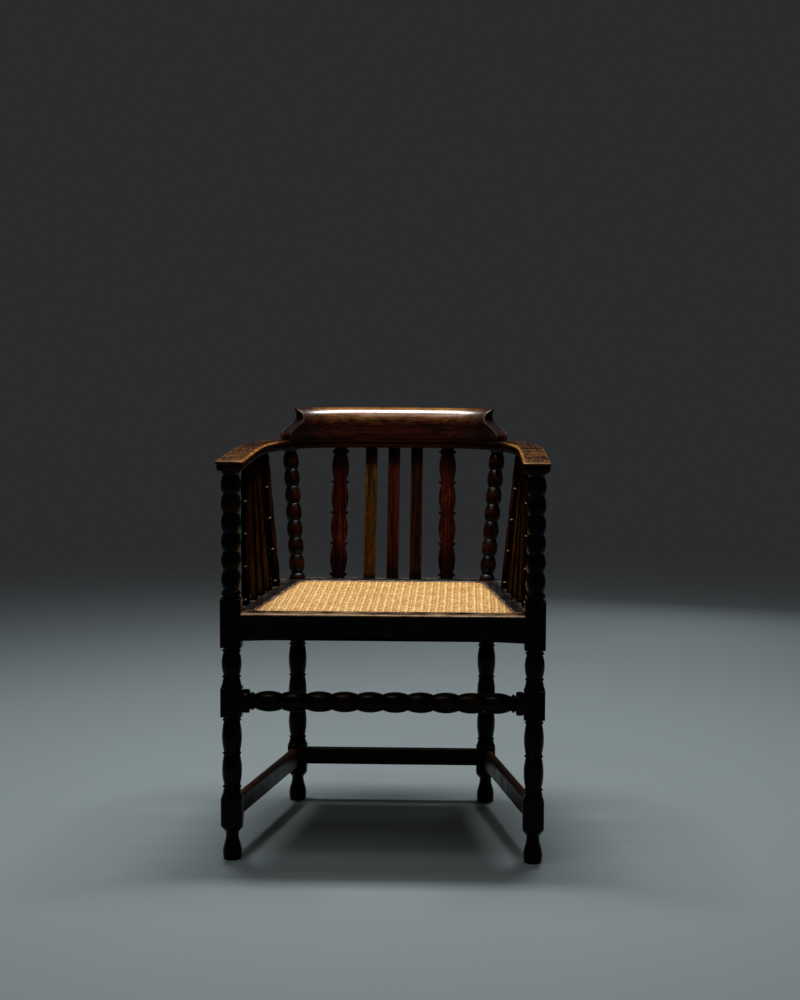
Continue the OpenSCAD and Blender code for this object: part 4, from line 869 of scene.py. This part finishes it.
def dull_steel(name):
    """Steel screws, drawn and slotted, dulled with age: grey, with faint stains about 1 mm across."""
    material, add = new_material(name)
    place = add("TexCoord").outputs["Object"]
    stain = add("TexNoise", {"Vector": place, "Scale": 900.0, "Detail": 3.0})
    colour = add("ValToRGB", {"Fac": stain}, stops=[(0.35, "#4a4744"), (0.65, "#7d7a76")])
    dull = add("MapRange", {"Value": stain, "To Min": 0.35, "To Max": 0.6})
    shader = add("BsdfPrincipled", {"Base Color": colour, "Roughness": dull, "Metallic": 1.0})
    add("OutputMaterial", {"Surface": shader})
    return material


beech, steel = bare_beech("beech_bare_sawn"), dull_steel("steel_screw_dull")
for node, finish in (("corner_blocks", beech), ("bow_dowels", beech), ("crest_screws", steel)):
    cad_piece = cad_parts[node]
    cad_piece.data.materials.clear()
    cad_piece.data.materials.append(finish)

# Room. A plain pale floor that fades out into a grey room on every side. One lamp hangs overhead a little
# behind the chair, and one beside it gives only gloss. A strip high in front, a soft fill in front and one
# behind are weak.
floor_reach = 9
fade_from, fade_to = 1.2, 4.2
floor_mesh = bpy.data.meshes.new("floor")
floor_corners = [(x * floor_reach, y * floor_reach, 0) for x, y in ((-1, -1), (1, -1), (1, 1), (-1, 1))]
floor_mesh.from_pydata(floor_corners, [], [(0, 1, 2, 3)])
floor_paper, add = new_material("floor_pale_matt")
floor_place = add("TexCoord").outputs["Object"]
from_chair = add("VectorMath", [floor_place], operation="LENGTH")
away = add("MapRange", {"Value": from_chair, "From Min": fade_from, "From Max": fade_to},
           interpolation_type="SMOOTHSTEP")
paper = add("BsdfPrincipled", {"Base Color": linear("#737e80"), "Roughness": 0.85})
nothing = add("BsdfTransparent")
faded = add("MixShader", [away, paper, nothing])
add("OutputMaterial", {"Surface": faded})
floor_mesh.materials.append(floor_paper)
floor = bpy.data.objects.new("floor", floor_mesh)
bpy.context.scene.collection.objects.link(floor)

for light_name, place, aim, size_x, size_y, power in (
        ("light_above", (0, 0.42, 2.7), (0, 0, 0.4), 1.5, 0.36, 76.0),
        ("light_strip", (-0.5, -0.75, 2.6), (0, 0.1, 0.6), 0.9, 0.45, 6.0),
        ("light_gloss", (0, 0.09, 2.7), (0, 0.09, 0.4), 1.5, 0.3, 42.0),
        ("light_front", (-0.3, -1.3, 2.4), (0, 0, 0.6), 1.2, 1.2, 7.0),
        ("light_behind", (0.9, 2.6, 0.9), (0, 0, 0.5), 1.0, 1.0, 12.0)):
    lamp = bpy.data.lights.new(light_name, "AREA")
    lamp.shape = "RECTANGLE"
    lamp.size = size_x
    lamp.size_y = size_y
    lamp.energy = power
    holder = bpy.data.objects.new(light_name, lamp)
    back = np.subtract(place, aim)
    holder.location = place
    tilt = math.atan2(math.hypot(back[0], back[1]), back[2])
    holder.rotation_euler = (tilt, 0, math.atan2(back[0], -back[1]))
    holder.visible_camera = False
    holder.visible_glossy = light_name in ("light_above", "light_strip", "light_gloss")
    holder.visible_diffuse = light_name != "light_gloss"
    bpy.context.scene.collection.objects.link(holder)

world = bpy.data.worlds.new("studio")
world.use_nodes = True
background = world.node_tree.nodes["Background"]
background.inputs["Color"].default_value = linear("#c8ccd0")
background.inputs["Strength"].default_value = 0.04
bpy.context.scene.world = world
bpy.context.scene.view_settings.view_transform = "Standard"

# Camera. A lens of 74 mm on a sensor 36 high, 1 m above the floor and 3.8 m in front, turned 1.9 degrees
# left and 5.9 down, with a roll of 0.2 degrees.
turn_left, tilt_up, roll = math.radians(1.905), math.radians(84.1176), math.radians(0.2134)
camera_data = bpy.data.cameras.new("camera")
camera_data.sensor_fit = "VERTICAL"
camera_data.sensor_width = 28.8
camera_data.sensor_height = 36
camera_data.lens = 73.8
camera_data.clip_end = 50
camera = bpy.data.objects.new("camera", camera_data)
camera.location = (0.14642, -3.80017, 1.00318)
camera.rotation_euler = (Matrix.Rotation(turn_left, 3, "Z") @ Matrix.Rotation(tilt_up, 3, "X")
                         @ Matrix.Rotation(roll, 3, "Z")).to_euler()
bpy.context.scene.collection.objects.link(camera)
bpy.context.scene.camera = camera
